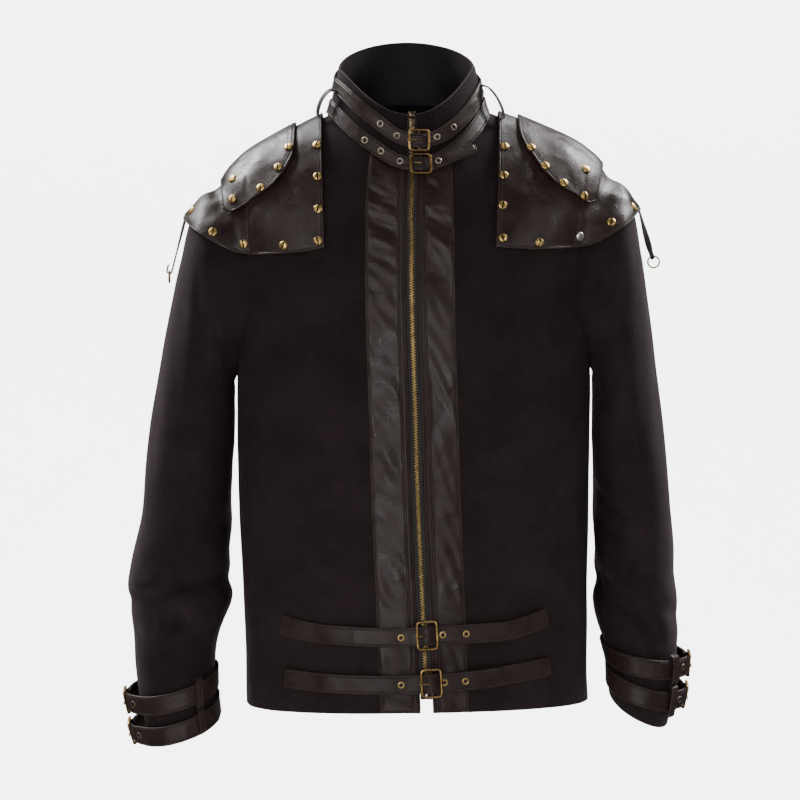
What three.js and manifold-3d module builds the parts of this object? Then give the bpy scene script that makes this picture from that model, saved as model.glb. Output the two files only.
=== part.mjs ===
// A steampunk jacket in its worn, hollow form, with nobody in it: a suede body and two-piece sleeves,
// a stand collar, leather plackets on both sides of a brass zip, a studded leather shoulder yoke in two
// layers, and buckled leather belts round the collar, the waist front and both cuffs.
// Millimetres, +Z up, -Y is the front, +X is the wearer's left. The origin is the middle of the neck
// opening, level with the two points where the shoulder seams meet the collar.
import * as THREE from "three";
import { mergeVertices } from "three/addons/utils/BufferGeometryUtils.js";
import Module from "manifold-3d";

const wasm = await Module();
wasm.setup();

// Rows of numbers under the named columns of their heading, as objects.
const table = (heading, ...rows) => {
  const names = heading.split(" ");
  return rows.map((row) => Object.fromEntries(names.map((name, i) => [name, row[i]])));
};

// ---------------------------------------------------------------- driving sizes
const SUEDE = 2; // wall of the suede body and sleeves
const COLLAR_WALL = 3; // two layers of suede and their stiffening
const LEATHER = 1.8; // yoke, plackets and belts
const SEAM = 0.3; // gap between pieces that are sewn together
const ARMHOLE_GAP = 0.6; // gap between the body and a sleeve at the armhole
const ZIP_HALF = 2.8; // half the width of the closed chain
const ZIP_GAP = 5.5; // from the zip's middle to the edge of a welt
const WELT_EDGE = 13; // from the zip's middle to the seam between welt and placket
const PLACKET_EDGE = { right: 51, left: 47 }; // from the zip's middle to the outer seam of a placket
const OVERLAY_GAP = 2.5; // between the two layers of the yoke
const BELT = { neck: 16, waist: 21, cuff: 22 }; // widths of the belts
const FRAME_ROOM = { neck: 8.4, waist: 12.5, cuff: 6.5 }; // a buckle is this much wider than its belt
const BUCKLE_LENGTH = 25; // of a frame, along its belt
const STUD_RADIUS = 5.2;
const STUD_HEIGHT = 2.2;
const STUD_SINK = 1.1; // how deep a stud reaches below the leather's face

// Sections of the body, from the hem to the neck seam. side, front and back are heights, because the
// upper rings rise to the shoulders. half, ahead and behind are reaches from the ring's middle, shift
// moves it sideways, turn (radians) swings the front round, and square is the superellipse exponent.
const BODY = table(
  "side front back half ahead behind shift turn square",
  [-664, -664, -664, 193, 125, 118, 8, 0.082, 2.5],
  [-600, -600, -600, 193, 128, 115, 7, 0.07, 2.5],
  [-510, -510, -510, 195, 129, 108, 5.5, 0.05, 2.5],
  [-420, -420, -420, 198, 133, 110, 4, 0.03, 2.45],
  [-325, -328, -322, 199, 138, 118, 4, 0.01, 2.45],
  [-232, -255, -236, 199, 134, 124, 4, -0.01, 2.4],
  [-140, -190, -158, 208, 124, 123, 4, -0.02, 2.35],
  [-84, -146, -100, 213, 112, 112, 4, -0.02, 2.3],
  [-52, -116, -58, 188, 103, 98, 2, -0.01, 2.2],
  [-28, -90, -22, 146, 94, 85, -1, 0.03, 2.1],
  [-2, -62, 12, 89, 82, 70, -4, 0.08, 2],
);
const BODY_TOP = BODY.length - 1;
// The shoulders stand lower on the wearer's right. These are slopes across the body at hem and neck.
const ROLL = { hem: 0.008, neck: 0.033 };

// Sections of a sleeve, from inside the armhole to the cuff. in and out are the section's two ends seen
// from the front, for the wearer's right (R) and left (L) arm, deep is half its depth, mid its middle
// from front to back, and lean how far its front hangs below its middle.
const SLEEVE = table(
  "inXR inZR outXR outZR inXL inZL outXL outZL deep mid lean",
  [-150, -255, -160, -104, 158, -245, 168, -92, 64, 0, 0],
  [-182, -281, -196, -97, 190, -270, 202, -85, 73, 0, 0],
  [-194, -295, -224, -96, 202, -285, 230, -84, 78, 0, 0],
  [-198, -304, -241, -111, 206, -294, 245, -99, 80, 1, 0],
  [-198, -313, -251, -135, 206, -304, 254, -122, 80, 2, 0],
  [-198, -327, -259, -170, 206, -319, 260, -157, 80, 4, 0],
  [-198, -348, -269, -215, 206, -341, 267, -203, 79, 6, 0],
  [-199, -374, -279, -268, 206, -368, 274, -257, 78, 8, 0],
  [-201, -402, -289, -328, 207, -397, 281, -318, 76, 10, 0],
  [-202, -436, -298, -392, 207, -431, 289, -384, 73, 12, 0],
  [-202, -470, -304, -452, 208, -467, 295, -442, 69, 13, 0],
  [-204, -503, -315, -502, 208, -502, 299, -492, 65, 14, 0],
  [-201, -530, -320, -530, 207, -533, 301, -531, 62, 13, 1],
  [-202, -553, -317, -556, 208, -559, 303, -562, 59, 11, 3],
  [-212, -577, -313, -588, 214, -582, 303, -592, 55, 8, 6],
  [-219, -602, -311, -625, 222, -604, 302, -621, 50, 5, 9],
  [-221, -640, -305, -665, 226, -629, 299, -652, 46, 2, 12],
  [-218, -680, -295, -706, 225, -655, 292, -686, 44, 0, 14],
);
const SLEEVE_END = SLEEVE.length - 1;
const SLEEVE_SQUARE = 2.2;
// Angles of the two long seams of a sleeve, from its outermost line towards the front.
const FRONT_SEAM = { top: 2.05, cuff: 1.4 };
const BACK_SEAM = 4.1;
const SEAM_ANGLE = 0.004; // half a seam gap, as an angle of a sleeve

// The largest folds of the sleeves. t is a section's number, angle is measured as the seams are, run
// (sections) and turn (radians) give the direction and half the length, and width is in millimetres.
const FOLDS = table(
  "arm t angle run turn width depth",
  ["R", 10.2, 2.3, 0.9, -0.9, 13, -5],
  ["R", 12.0, 1.9, 0.4, -1.0, 12, -6],
  ["R", 13.3, 1.3, 0.7, 0.9, 12, -5],
  ["R", 11.2, 4.6, 0.3, 1.1, 15, -6],
  ["L", 10.4, 2.2, 1.2, -0.9, 12, -8],
  ["L", 12.6, 1.9, 1.3, -0.9, 11, -11],
  ["L", 8.3, 1.9, 1.1, -0.5, 14, -4],
  ["L", 11.2, 4.6, 0.3, 1.1, 15, -6],
);

// Sections of the collar, from its seam to its rim, with the columns of BODY.
const COLLAR = table(
  "side front back half ahead behind shift turn square",
  [-1.4, -61.3, 12.6, 89, 82.2, 70, -4, 0.08, 2],
  [22, -35, 44, 82.5, 80, 71, -3.8, 0.07, 2],
  [49, -7, 83, 77, 77, 74, -3.9, 0.07, 2],
);
const COLLAR_TOP = COLLAR.length - 1;
const RIM_CROWN = 1; // how the rim rises from its sides to the back: 2 is pointed, 1 is flat on top

// Stations of the shoulder yoke, from the neck to its tip. topX and topZ are on the shoulder's ridge,
// lowX and lowZ on the lower edge seen from the front, for each arm, and reach is how far the lower
// edge stands out to the front and to the back.
const YOKE = table(
  "topXR topZR lowXR lowZR topXL topZL lowXL lowZL reach",
  [99, 3, 95, -154, 100, 5, 94, -153, 126],
  [122, -8, 118, -158, 129, -8, 118, -155, 119],
  [144, -20, 141, -160, 151, -20, 141, -156, 110],
  [165, -31, 163, -160.5, 174, -31, 163, -155, 101],
  [185, -43, 184, -159, 202, -42, 184, -153, 92],
  [206, -54, 204, -154, 219, -53, 204, -149, 82],
  [222, -66, 221, -146, 233, -65, 222, -140, 69],
  [237, -79, 237, -136, 246, -77, 238, -129, 52],
  [250, -94, 251, -125, 255, -91, 251, -117, 32],
  [261, -109, 262, -115, 262, -104, 262, -108, 10],
);
const YOKE_END = YOKE.length - 1;
const YOKE_LIFT = 4.6; // of the yoke's inner face over what it lies on

// The upper layer of the yoke, seen from the front: its inner edge from the ridge down to its corner.
const OVERLAY = {
  R: table("x z", [-129, -12], [-129, -36], [-134, -58], [-151, -82], [-173, -98], [-204, -113]),
  L: table("x z", [121, -6], [123, -27], [138, -54], [154, -75], [174, -90], [201, -106]),
};
// Its outer edge runs from the ridge at this place down to this one.
const OVERLAY_OUTER = {
  R: table("x z", [-205, -56], [-208, -112]),
  L: table("x z", [203, -45], [205, -105]),
};

// Brass studs of the yoke's two layers, seen from the front.
const STUDS = {
  R: {
    base: table(
      "x z",
      [-103, -40], [-102, -76], [-101, -112], [-101, -147],
      [-139, -152], [-184, -150], [-218, -137], [-244, -112],
    ),
    overlay: table("x z", [-135, -42], [-146, -65], [-165, -88], [-197, -100], [-198, -77]),
  },
  L: {
    base: table(
      "x z",
      [96, -39], [97, -74], [98, -108], [101, -144],
      [141, -149], [187, -142], [222, -126], [249, -108],
    ),
    overlay: table("x z", [134, -43], [149, -64], [169, -83], [192, -97], [195, -67]),
  },
};

// The two belts over the waist front: the middle of each belt from its left end to its right end, seen
// from the front, with the place of its buckle and of its tip. The wearer's right belt lies on top.
const WAIST = {
  upper: {
    path: table(
      "x z",
      [-141, -568], [-110, -575], [-66, -578.6], [-11, -580],
      [18.7, -577.5], [65, -576], [110.7, -573], [151, -561],
    ),
    buckle: 18.7,
    tip: 110.7,
  },
  lower: {
    path: table(
      "x z",
      [-138, -627], [-105, -630], [-66, -631.5], [-11, -632],
      [23.3, -629.8], [60, -628], [102.5, -623.3], [154, -616],
    ),
    buckle: 23.3,
    tip: 102.5,
  },
};

// The belts round the cuffs: the middle of each belt and half its width, as section numbers of a sleeve,
// and how far the belt stands off the cloth at its buckle.
const CUFF = {
  R: [
    { name: "upper", at: 15.92, half: 0.28, standOff: 8 },
    { name: "lower", at: 16.71, half: 0.27, standOff: 10 },
  ],
  L: [
    { name: "upper", at: 15.05, half: 0.4, standOff: 6 },
    { name: "lower", at: 16.1, half: 0.37, standOff: 6 },
  ],
};
// The strip that holds each cuff's belts down: its angle, its two ends as section numbers, and its width.
const KEEPERS = {
  R: { angle: 2.15, from: 15.5, to: 16.99, width: 9 },
  L: { angle: 0.72, from: 14.5, to: 16.6, width: 13 },
};

// Heights of a fastened belt's layers above its inner face, where it passes through its buckle.
const UNDER_BAR = 2.2; // the free end's inner face, beside the middle bar
const OVER_BAR = 5.0; // the same face over the middle bar
const BAR = { height: 3.8, radius: 0.8 }; // the middle bar's axis
const PRONG = { root: -0.9, tip: -13.5, height: 7.9, radius: 1.1, hole: 2.3 }; // root and tip along the belt
// Undersides of a frame's rails and end bars, its top, the width of an end bar and the cut corners.
const FRAME = { low: 2.9, bars: 4.9, high: 7.2, endBar: 3.2, corner: 3 };

// The straps that hang from the tips of the yoke: where the fold of each holds its ring, and the angles
// (radians) its width turns through, from lying across to lying front to back.
const TAILS = {
  R: { to: [-268.5, -3, -180], twist: [-1.2, -1.57] },
  L: { to: [272.5, -3, -163], twist: [1.4, 0] },
};
const TAIL = { width: 7, foldWidth: 4.4, fold: 2.8, ring: 6.5, wire: 1 };

// The loops at the collar's sides: the angle round the neck, the height above the neck seam and the
// distance off the collar where each begins on the upper belt, how far it bulges, and the place of its
// lower end on the yoke.
const COLLAR_LOOP = {
  angle: 1.3, height: 31, off: { R: 3.8, L: 4.6 }, bulge: 10, drop: 10, yokeU: 0.2, yokeW: 0.2, width: 8,
};

// The belts round the collar: angle round the neck from the front, + on the wearer's left, and the height
// of the belt's middle above the neck seam, from the buckle round the back to the buckle and the tip.
const NECK = {
  upper: table(
    "angle height",
    [0.1, 21], [0.6, 22], [1.1, 25], [1.57, 30], [2.3, 38], [3.14, 44], [4.0, 41], [4.71, 34.5], [5.3, 35],
    [5.8, 33], [6.08, 27], [6.36, 23.3], [6.6, 21.6], [6.85, 21.8], [7.35, 24],
  ),
  lower: table(
    "angle height",
    [0.1, -3], [0.6, 0], [1.1, 4], [1.57, 9.5], [2.3, 14], [3.14, 15], [4.0, 14], [4.71, 11.5], [5.56, 8],
    [5.8, 7.5], [6.08, 2], [6.36, -3.5], [6.6, -5], [6.78, -7], [6.97, -11],
  ),
};
// Heights of a belt's inner face over the cloth, where no buckle lifts it.
const WAIST_BASE = { ends: 0.8, middle: 1.9 };
const NECK_BASE = { upper: 1.4, lower: 0.9, front: 2.2 };
const CUFF_BASE = 2.3;
const CUFF_LAP = 0.95; // how far a cuff belt's free end laps past its buckle, as an angle

// ---------------------------------------------------------------- small helpers
const vec = (x, y, z) => new THREE.Vector3(x, y, z);
const mix = (a, b, t) => a + (b - a) * t;
const clamp = (x, low, high) => Math.min(high, Math.max(low, x));
const smooth = (x) => clamp(x, 0, 1) ** 2 * (3 - 2 * clamp(x, 0, 1));
const signedPower = (x, p) => Math.sign(x) * Math.abs(x) ** p;
const steps = (count) => Array.from({ length: count + 1 }, (_, i) => i / count);

// The value of a table's column at a fractional row, on a Catmull-Rom curve through its rows.
function along(rows, key, v) {
  const last = rows.length - 1;
  const i = clamp(Math.floor(v), 0, last - 1);
  const t = v - i;
  const [a, b, c, d] = [-1, 0, 1, 2].map((k) => rows[clamp(i + k, 0, last)][key]);
  const bend = 2 * a - 5 * b + 4 * c - d;
  return 0.5 * (2 * b + (c - a) * t + bend * t * t + (3 * b - a - 3 * c + d) * t ** 3);
}

// A point of a ring: angle 0 is the front, a quarter turn the wearer's left, a half turn the back. The
// height goes from the side's to the back's with the cosine raised to crown.
function ringPoint(rows, v, angle, roll, crown = 2) {
  const row = (key) => along(rows, key, v);
  const power = 2 / row("square");
  const c = Math.cos(angle);
  const x = row("half") * signedPower(Math.sin(angle), power);
  const y = -(c > 0 ? row("ahead") : row("behind")) * signedPower(c, power);
  const side = row("side");
  const z = side + (c > 0 ? (row("front") - side) * c * c : (row("back") - side) * Math.abs(c) ** crown);
  const turn = row("turn");
  const across = x * Math.cos(turn) - y * Math.sin(turn) + row("shift");
  return vec(across, x * Math.sin(turn) + y * Math.cos(turn), z + across * roll);
}

const bodyRoll = (v) => mix(ROLL.hem, ROLL.neck, smooth(v / BODY_TOP));
const bodyPoint = (angle, v) => ringPoint(BODY, v, angle, bodyRoll(v));
const crownOf = (v) => mix(2, RIM_CROWN, clamp(v / COLLAR_TOP, 0, 1));
const collarPoint = (angle, v) => ringPoint(COLLAR, v, angle, ROLL.neck, crownOf(v));

// The outward normal of a surface f(a, b), from its small differences.
function normalOf(f, a, b, stepA, stepB) {
  const alongA = f(a + stepA, b).sub(f(a - stepA, b));
  return alongA.cross(f(a, b + stepB).sub(f(a, b - stepB))).normalize();
}

// Ring angles at given walking distances from the front: [distance, angle] pairs, kept for each row.
const WALK_STEPS = 72;
const walks = new Map();
function walkRing(v) {
  const key = v.toFixed(4);
  if (walks.has(key)) return walks.get(key);
  const sides = [1, -1].map((sign) => {
    let [distance, last] = [0, bodyPoint(0, v)];
    return steps(WALK_STEPS).map((s) => {
      const here = bodyPoint(sign * s * Math.PI, v);
      distance += here.distanceTo(last);
      last = here;
      return { distance, angle: sign * s * Math.PI };
    });
  });
  walks.set(key, sides);
  return sides;
}

// The ring angle at a signed distance along the body from the front middle, + on the wearer's left.
function angleAt(distance, v) {
  const walk = walkRing(v)[distance >= 0 ? 0 : 1];
  const far = Math.abs(distance);
  const next = clamp(walk.findIndex((w) => w.distance >= far), 1, WALK_STEPS);
  const [a, b] = [walk[next - 1], walk[next]];
  return mix(a.angle, b.angle, (far - a.distance) / (b.distance - a.distance));
}
const girth = (v, side) => walkRing(v)[side > 0 ? 0 : 1][WALK_STEPS].distance;

// A point and normal of the body at a distance from the front middle and a row.
function onBody(distance, v) {
  const angle = angleAt(distance, v);
  return { point: bodyPoint(angle, v), normal: normalOf(bodyPoint, angle, v, 0.01, 0.02) };
}

// ---------------------------------------------------------------- walls from grids
// A closed wall from a grid of { point, normal }: its outer face is at lift and its inner face wall
// below that. A tube is closed across the grid's first direction.
function wallFromGrid(grid, wall, { tube = false, lift = 0 } = {}) {
  const [rows, columns] = [grid.length, grid[0].length];
  const positions = [];
  for (const offset of [lift, lift - wall])
    for (const row of grid)
      for (const { point, normal } of row)
        positions.push(...point.clone().addScaledVector(normal, offset).toArray());
  const outer = (r, c) => r * columns + (c % columns);
  const inner = (r, c) => rows * columns + outer(r, c);
  const index = [];
  const quad = (a, b, c, d) => index.push(a, b, c, a, c, d);
  const wide = tube ? columns : columns - 1;
  for (let r = 0; r < rows - 1; r++)
    for (let c = 0; c < wide; c++) {
      quad(outer(r, c), outer(r, c + 1), outer(r + 1, c + 1), outer(r + 1, c));
      quad(inner(r, c + 1), inner(r, c), inner(r + 1, c), inner(r + 1, c + 1));
    }
  for (let c = 0; c < wide; c++) {
    quad(outer(0, c + 1), outer(0, c), inner(0, c), inner(0, c + 1));
    quad(outer(rows - 1, c), outer(rows - 1, c + 1), inner(rows - 1, c + 1), inner(rows - 1, c));
  }
  for (let r = 0; r < rows - 1 && !tube; r++) {
    quad(outer(r, 0), outer(r + 1, 0), inner(r + 1, 0), inner(r, 0));
    quad(outer(r + 1, wide), outer(r, wide), inner(r, wide), inner(r + 1, wide));
  }
  return facingOut(positions, index);
}

// A filled body inside a tube's rings, each end closed by a fan.
function filledTube(grid, lift) {
  const columns = grid[0].length;
  const positions = [];
  for (const row of grid)
    for (const { point, normal } of row)
      positions.push(...point.clone().addScaledVector(normal, lift).toArray());
  const index = [];
  const at = (r, c) => r * columns + (c % columns);
  for (let r = 0; r < grid.length - 1; r++)
    for (let c = 0; c < columns; c++) {
      index.push(at(r, c), at(r, c + 1), at(r + 1, c + 1));
      index.push(at(r, c), at(r + 1, c + 1), at(r + 1, c));
    }
  for (const r of [0, grid.length - 1]) {
    const middle = vec(0, 0, 0);
    for (const { point } of grid[r]) middle.addScaledVector(point, 1 / columns);
    const hub = positions.length / 3;
    positions.push(...middle.toArray());
    for (let c = 0; c < columns; c++)
      index.push(...(r === 0 ? [hub, at(r, c + 1), at(r, c)] : [hub, at(r, c), at(r, c + 1)]));
  }
  return facingOut(positions, index);
}

// An indexed geometry, turned inside out if its volume comes out negative.
function facingOut(positions, index) {
  const at = (i) => vec(...positions.slice(3 * i, 3 * i + 3));
  let volume = 0;
  for (let i = 0; i < index.length; i += 3)
    volume += at(index[i]).dot(at(index[i + 1]).cross(at(index[i + 2])));
  if (volume < 0)
    for (let i = 0; i < index.length; i += 3)
      [index[i + 1], index[i + 2]] = [index[i + 2], index[i + 1]];
  const geometry = new THREE.BufferGeometry();
  geometry.setAttribute("position", new THREE.Float32BufferAttribute(positions, 3));
  geometry.setIndex(index);
  return geometry;
}

// ---------------------------------------------------------------- joining and cutting
function toSolid(geometry) {
  const bare = geometry.clone();
  for (const name of Object.keys(bare.attributes)) if (name !== "position") bare.deleteAttribute(name);
  const merged = mergeVertices(bare, 1e-4);
  return new wasm.Manifold(
    new wasm.Mesh({
      numProp: 3,
      vertProperties: new Float32Array(merged.attributes.position.array),
      triVerts: new Uint32Array(merged.index.array),
    }),
  );
}

function toGeometry(solid) {
  const mesh = solid.getMesh();
  const geometry = new THREE.BufferGeometry();
  geometry.setAttribute("position", new THREE.Float32BufferAttribute(mesh.vertProperties, 3));
  geometry.setIndex(Array.from(mesh.triVerts));
  return geometry;
}

// The largest body of a solid, which drops slivers that a cut leaves.
const largest = (solid) => solid.decompose().reduce((a, b) => (b.volume() > a.volume() ? b : a));
const cut = (geometry, ...cutters) =>
  toGeometry(largest(cutters.reduce((solid, c) => solid.subtract(c), toSolid(geometry))));
const join = (...geometries) =>
  toGeometry(geometries.map(toSolid).reduce((solid, other) => solid.add(other)));

// ---------------------------------------------------------------- materials and the group
function paint(color, roughness, metalness) {
  return new THREE.MeshStandardMaterial({ color, roughness, metalness });
}
const suede = paint(0x1e1719, 0.95, 0);
const leather = paint(0x37292a, 0.42, 0);
const brass = paint(0x9a7b45, 0.35, 0.9);
const darkBrass = paint(0x6b5334, 0.4, 0.9);
const tape = paint(0x17120f, 0.9, 0);

const jacket = new THREE.Group();
function addPiece(name, geometry, material) {
  const mesh = new THREE.Mesh(geometry, material);
  mesh.name = name;
  jacket.add(mesh);
}

const ARMS = [
  { arm: "R", side: "right", sign: -1 },
  { arm: "L", side: "left", sign: 1 },
];

// ---------------------------------------------------------------- sleeves as surfaces
// The fold's share at a point, by its distance from the fold's line: a soft trough that fades to both
// ends. One section step is about 30 mm of sleeve and one radian about 60 mm.
const SECTION_MM = 30;
const RADIAN_MM = 60;
function foldDepth(arm, t, angle) {
  let sum = 0;
  for (const f of FOLDS.filter((fold) => fold.arm === arm)) {
    const reach = vec(f.run * SECTION_MM, f.turn * RADIAN_MM, 0);
    const from = vec((t - f.t) * SECTION_MM, (angle - f.angle) * RADIAN_MM, 0);
    const length = reach.length();
    const share = from.dot(reach) / length / length;
    const aside = Math.abs(from.x * reach.y - from.y * reach.x) / length;
    sum += f.depth * Math.exp(-((aside / f.width) ** 2)) * Math.exp(-(share ** 2) * 1.6);
  }
  return sum;
}

// A point of a sleeve: angle 0 is its outermost line, a quarter turn its front, a half turn the body side.
function sleevePoint(arm, angle, t) {
  const at = (key) => along(SLEEVE, key, t);
  const inner = vec(at("inX" + arm), at("mid"), at("inZ" + arm));
  const outer = vec(at("outX" + arm), at("mid"), at("outZ" + arm));
  const middle = inner.clone().add(outer).multiplyScalar(0.5);
  const across = outer.sub(inner).multiplyScalar(0.5);
  const forward = vec(0, -at("deep"), -at("lean"));
  const power = 2 / SLEEVE_SQUARE;
  const [c, s] = [signedPower(Math.cos(angle), power), signedPower(Math.sin(angle), power)];
  const point = middle.clone().addScaledVector(across, c).addScaledVector(forward, s);
  const radial = point.clone().sub(middle).normalize();
  return point.addScaledVector(radial, foldDepth(arm, t, angle));
}

function onSleeve(arm, angle, t) {
  const surface = (a, b) => sleevePoint(arm, a, b);
  const normal = normalOf(surface, angle, t, 0.02, 0.03);
  const middle = sleevePoint(arm, angle, t).sub(sleevePoint(arm, angle + Math.PI, t));
  if (normal.dot(middle) < 0) normal.negate();
  return { point: sleevePoint(arm, angle, t), normal };
}

const frontSeam = (t) => mix(FRONT_SEAM.top, FRONT_SEAM.cuff, smooth((t - 5) / (SLEEVE_END - 5)));

// A panel of a sleeve between two seam angles. Its edges stop half a seam gap short, with the seam's own
// normal, so that two panels stay parallel there.
function sleeveGrid(arm, from, to, columns, rows) {
  return steps(rows).map((r) => {
    const t = r * SLEEVE_END;
    return steps(columns).map((c) => {
      const angle = mix(from(t), to(t), c);
      const back = c === 0 ? SEAM_ANGLE : c === 1 ? -SEAM_ANGLE : 0;
      return { point: sleevePoint(arm, angle + back, t), normal: onSleeve(arm, angle, t).normal };
    });
  });
}

function ringGrid(arm, columns, rows, start, end) {
  return steps(rows).map((r) => {
    const t = mix(start, end, r);
    return steps(columns).slice(0, -1).map((c) => onSleeve(arm, c * 2 * Math.PI, t));
  });
}

// ---------------------------------------------------------------- body and sleeves
const BODY_ROWS = 15;
const bodyRows = steps(BODY_ROWS).map((r) => r * BODY_TOP);

function bodyGrid(from, to, columns) {
  return bodyRows.map((v) => steps(columns).map((c) => onBody(mix(from(v), to(v), c), v)));
}

// The whole body as a filled solid, grown by lift, which trims the sleeves.
const bodyRing = (v) =>
  steps(48).slice(0, -1).map((c) => {
    const angle = c * 2 * Math.PI;
    return { point: bodyPoint(angle, v), normal: normalOf(bodyPoint, angle, v, 0.01, 0.02) };
  });
const filledBody = (lift) => toSolid(filledTube(bodyRows.map(bodyRing), lift));
const filledSleeve = (arm, lift, end = 12) => toSolid(filledTube(ringGrid(arm, 28, 20, 0, end), lift));

const bodyTrim = filledBody(ARMHOLE_GAP);
const sleeveTrim = { R: filledSleeve("R", ARMHOLE_GAP), L: filledSleeve("L", ARMHOLE_GAP) };

// The princess seam runs from under the yoke to the hem, the side seam half way round.
const princess = (v, sign) => sign * mix(162, 134, smooth(v / BODY_TOP));
const sideSeam = (v, sign) => sign * girth(v, sign) * 0.5;
const inset = (edge, sign) => edge + (sign * SEAM) / 2;

for (const { side, sign, arm } of ARMS) {
  const placket = () => sign * PLACKET_EDGE[side];
  const nearNeck = (v) => smooth((v - 8) / 2);
  // Near the neck the rings are short, so the princess seam closes in with them.
  const seam = (v) => mix(princess(v, sign), sign * girth(v, sign) * 0.38, nearNeck(v));
  const piece = (from, to, columns) =>
    wallFromGrid(bodyGrid((v) => inset(from(v), sign), (v) => inset(to(v), -sign), columns), SUEDE);
  addPiece(`front_${side}`, cut(piece(placket, seam, 4), sleeveTrim[arm]), suede);
  addPiece(`side_front_${side}`, cut(piece(seam, (v) => sideSeam(v, sign), 5), sleeveTrim[arm]), suede);
  const strip = bodyGrid((v) => sign * (WELT_EDGE + SEAM / 2), (v) => inset(placket(v), -sign), 2);
  addPiece(`placket_${side}`, wallFromGrid(strip, LEATHER + 0.4), leather);
  const welt = bodyGrid(() => sign * ZIP_GAP, () => sign * (WELT_EDGE - SEAM / 2), 1);
  addPiece(`welt_${side}`, wallFromGrid(welt, 3, { lift: 1 }), leather);
}

const backGrid = bodyRows.map((v) =>
  steps(15).map((c) => {
    const [left, right] = [girth(v, 1), girth(v, -1)];
    const from = sideSeam(v, 1) + SEAM / 2;
    const across = mix(from, 2 * left - from, c);
    const distance = across <= left ? across : -right * (1 - (across - left) / left);
    return onBody(distance, v);
  }),
);
addPiece("back", cut(wallFromGrid(backGrid, SUEDE), sleeveTrim.R, sleeveTrim.L), suede);

for (const { side, arm } of ARMS) {
  const top = sleeveGrid(arm, () => BACK_SEAM - 2 * Math.PI, frontSeam, 8, 18);
  const under = sleeveGrid(arm, frontSeam, () => BACK_SEAM, 5, 18);
  addPiece(`sleeve_top_${side}`, cut(wallFromGrid(top, SUEDE), bodyTrim), suede);
  addPiece(`sleeve_under_${side}`, cut(wallFromGrid(under, SUEDE), bodyTrim), suede);
}

// ---------------------------------------------------------------- collar
const COLLAR_COLUMNS = 26;
const collarEdge = ZIP_GAP / COLLAR[0].ahead; // the ring angle where the collar meets the zip
const onCollar = (angle, v) => ({
  point: collarPoint(angle, v),
  normal: normalOf(collarPoint, angle, v, 0.01, 0.02),
});
const collarGrid = steps(3).map((r) =>
  steps(COLLAR_COLUMNS).map((c) => onCollar(mix(collarEdge, 2 * Math.PI - collarEdge, c), r * COLLAR_TOP)),
);
addPiece("collar", wallFromGrid(collarGrid, COLLAR_WALL), suede);

// ---------------------------------------------------------------- finding places seen from the front
// The parameters of a surface where it is seen at x and z from the front, starting from a guess.
function findSeen(surface, x, z, startA, startB) {
  let [a, b] = [startA, startB];
  for (let pass = 0; pass < 30; pass++) {
    const here = surface(a, b);
    const byA = surface(a + 1e-3, b).sub(here).multiplyScalar(1e3);
    const byB = surface(a, b + 1e-3).sub(here).multiplyScalar(1e3);
    const [dx, dz] = [x - here.x, z - here.z];
    const area = byA.x * byB.z - byA.z * byB.x || 1;
    a += clamp((dx * byB.z - dz * byB.x) / area, -0.2, 0.2);
    b += clamp((dz * byA.x - dx * byA.z) / area, -0.6, 0.6);
  }
  return [a, b];
}

// ---------------------------------------------------------------- zip, its tapes, and the collar front
// The front line from the hem (0) to the neck seam (1) and on to the collar's rim (2), at a distance
// from the zip's middle.
function onFrontLine(distance, q) {
  if (q <= 1) return onBody(distance, q * BODY_TOP);
  return onCollar(distance / COLLAR[0].ahead, (q - 1) * COLLAR_TOP);
}
function frontStrip(from, to, columns, top = 1.93) {
  const heights = [...steps(12), ...steps(3).slice(1).map((r) => 1 + r * (top - 1))];
  return heights.map((q) => steps(columns).map((c) => onFrontLine(mix(from, to, c), q)));
}
addPiece("zip_chain", wallFromGrid(frontStrip(-ZIP_HALF, ZIP_HALF, 2), 2.6, { lift: 1.2 }), brass);
for (const { side, sign } of ARMS) {
  const strip = frontStrip(sign * (ZIP_HALF + SEAM), sign * (ZIP_GAP - SEAM), 1, 2);
  addPiece(`zip_tape_${side}`, wallFromGrid(strip, 1), tape);
}

// ---------------------------------------------------------------- shoulder yoke
// The yoke is laid over the body and the sleeve: rays from a line inside the shoulder find the outermost
// cloth, and the lengths are smoothed so that the leather bridges the hollow at the armhole.
const YOKE_COLUMNS = 18;
const YOKE_ROWS = 12;

// A yoke's guide points, before it is laid: w is 0 on the ridge and 1 at the lower edge.
function yokeGuide(arm, sign, face, u, w) {
  const at = (key) => along(YOKE, key, u);
  const power = mix(1.35, 1, u / YOKE_END);
  const turn = (Math.min(w, 1) * Math.PI) / 2;
  const [c, s] = [Math.abs(Math.cos(turn)) ** power, Math.sin(turn) ** power];
  const x = mix(at("lowX" + arm), at("topX" + arm), c);
  return vec(sign * x, -face * at("reach") * s, mix(at("lowZ" + arm), at("topZ" + arm), c));
}

function yokeHub(arm, sign, u) {
  const x = mix(0.94, 0.8, u / YOKE_END) * along(YOKE, "lowX" + arm, u);
  return vec(sign * x, 0, along(YOKE, "lowZ" + arm, u) - mix(4, 30, u / YOKE_END));
}

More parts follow.
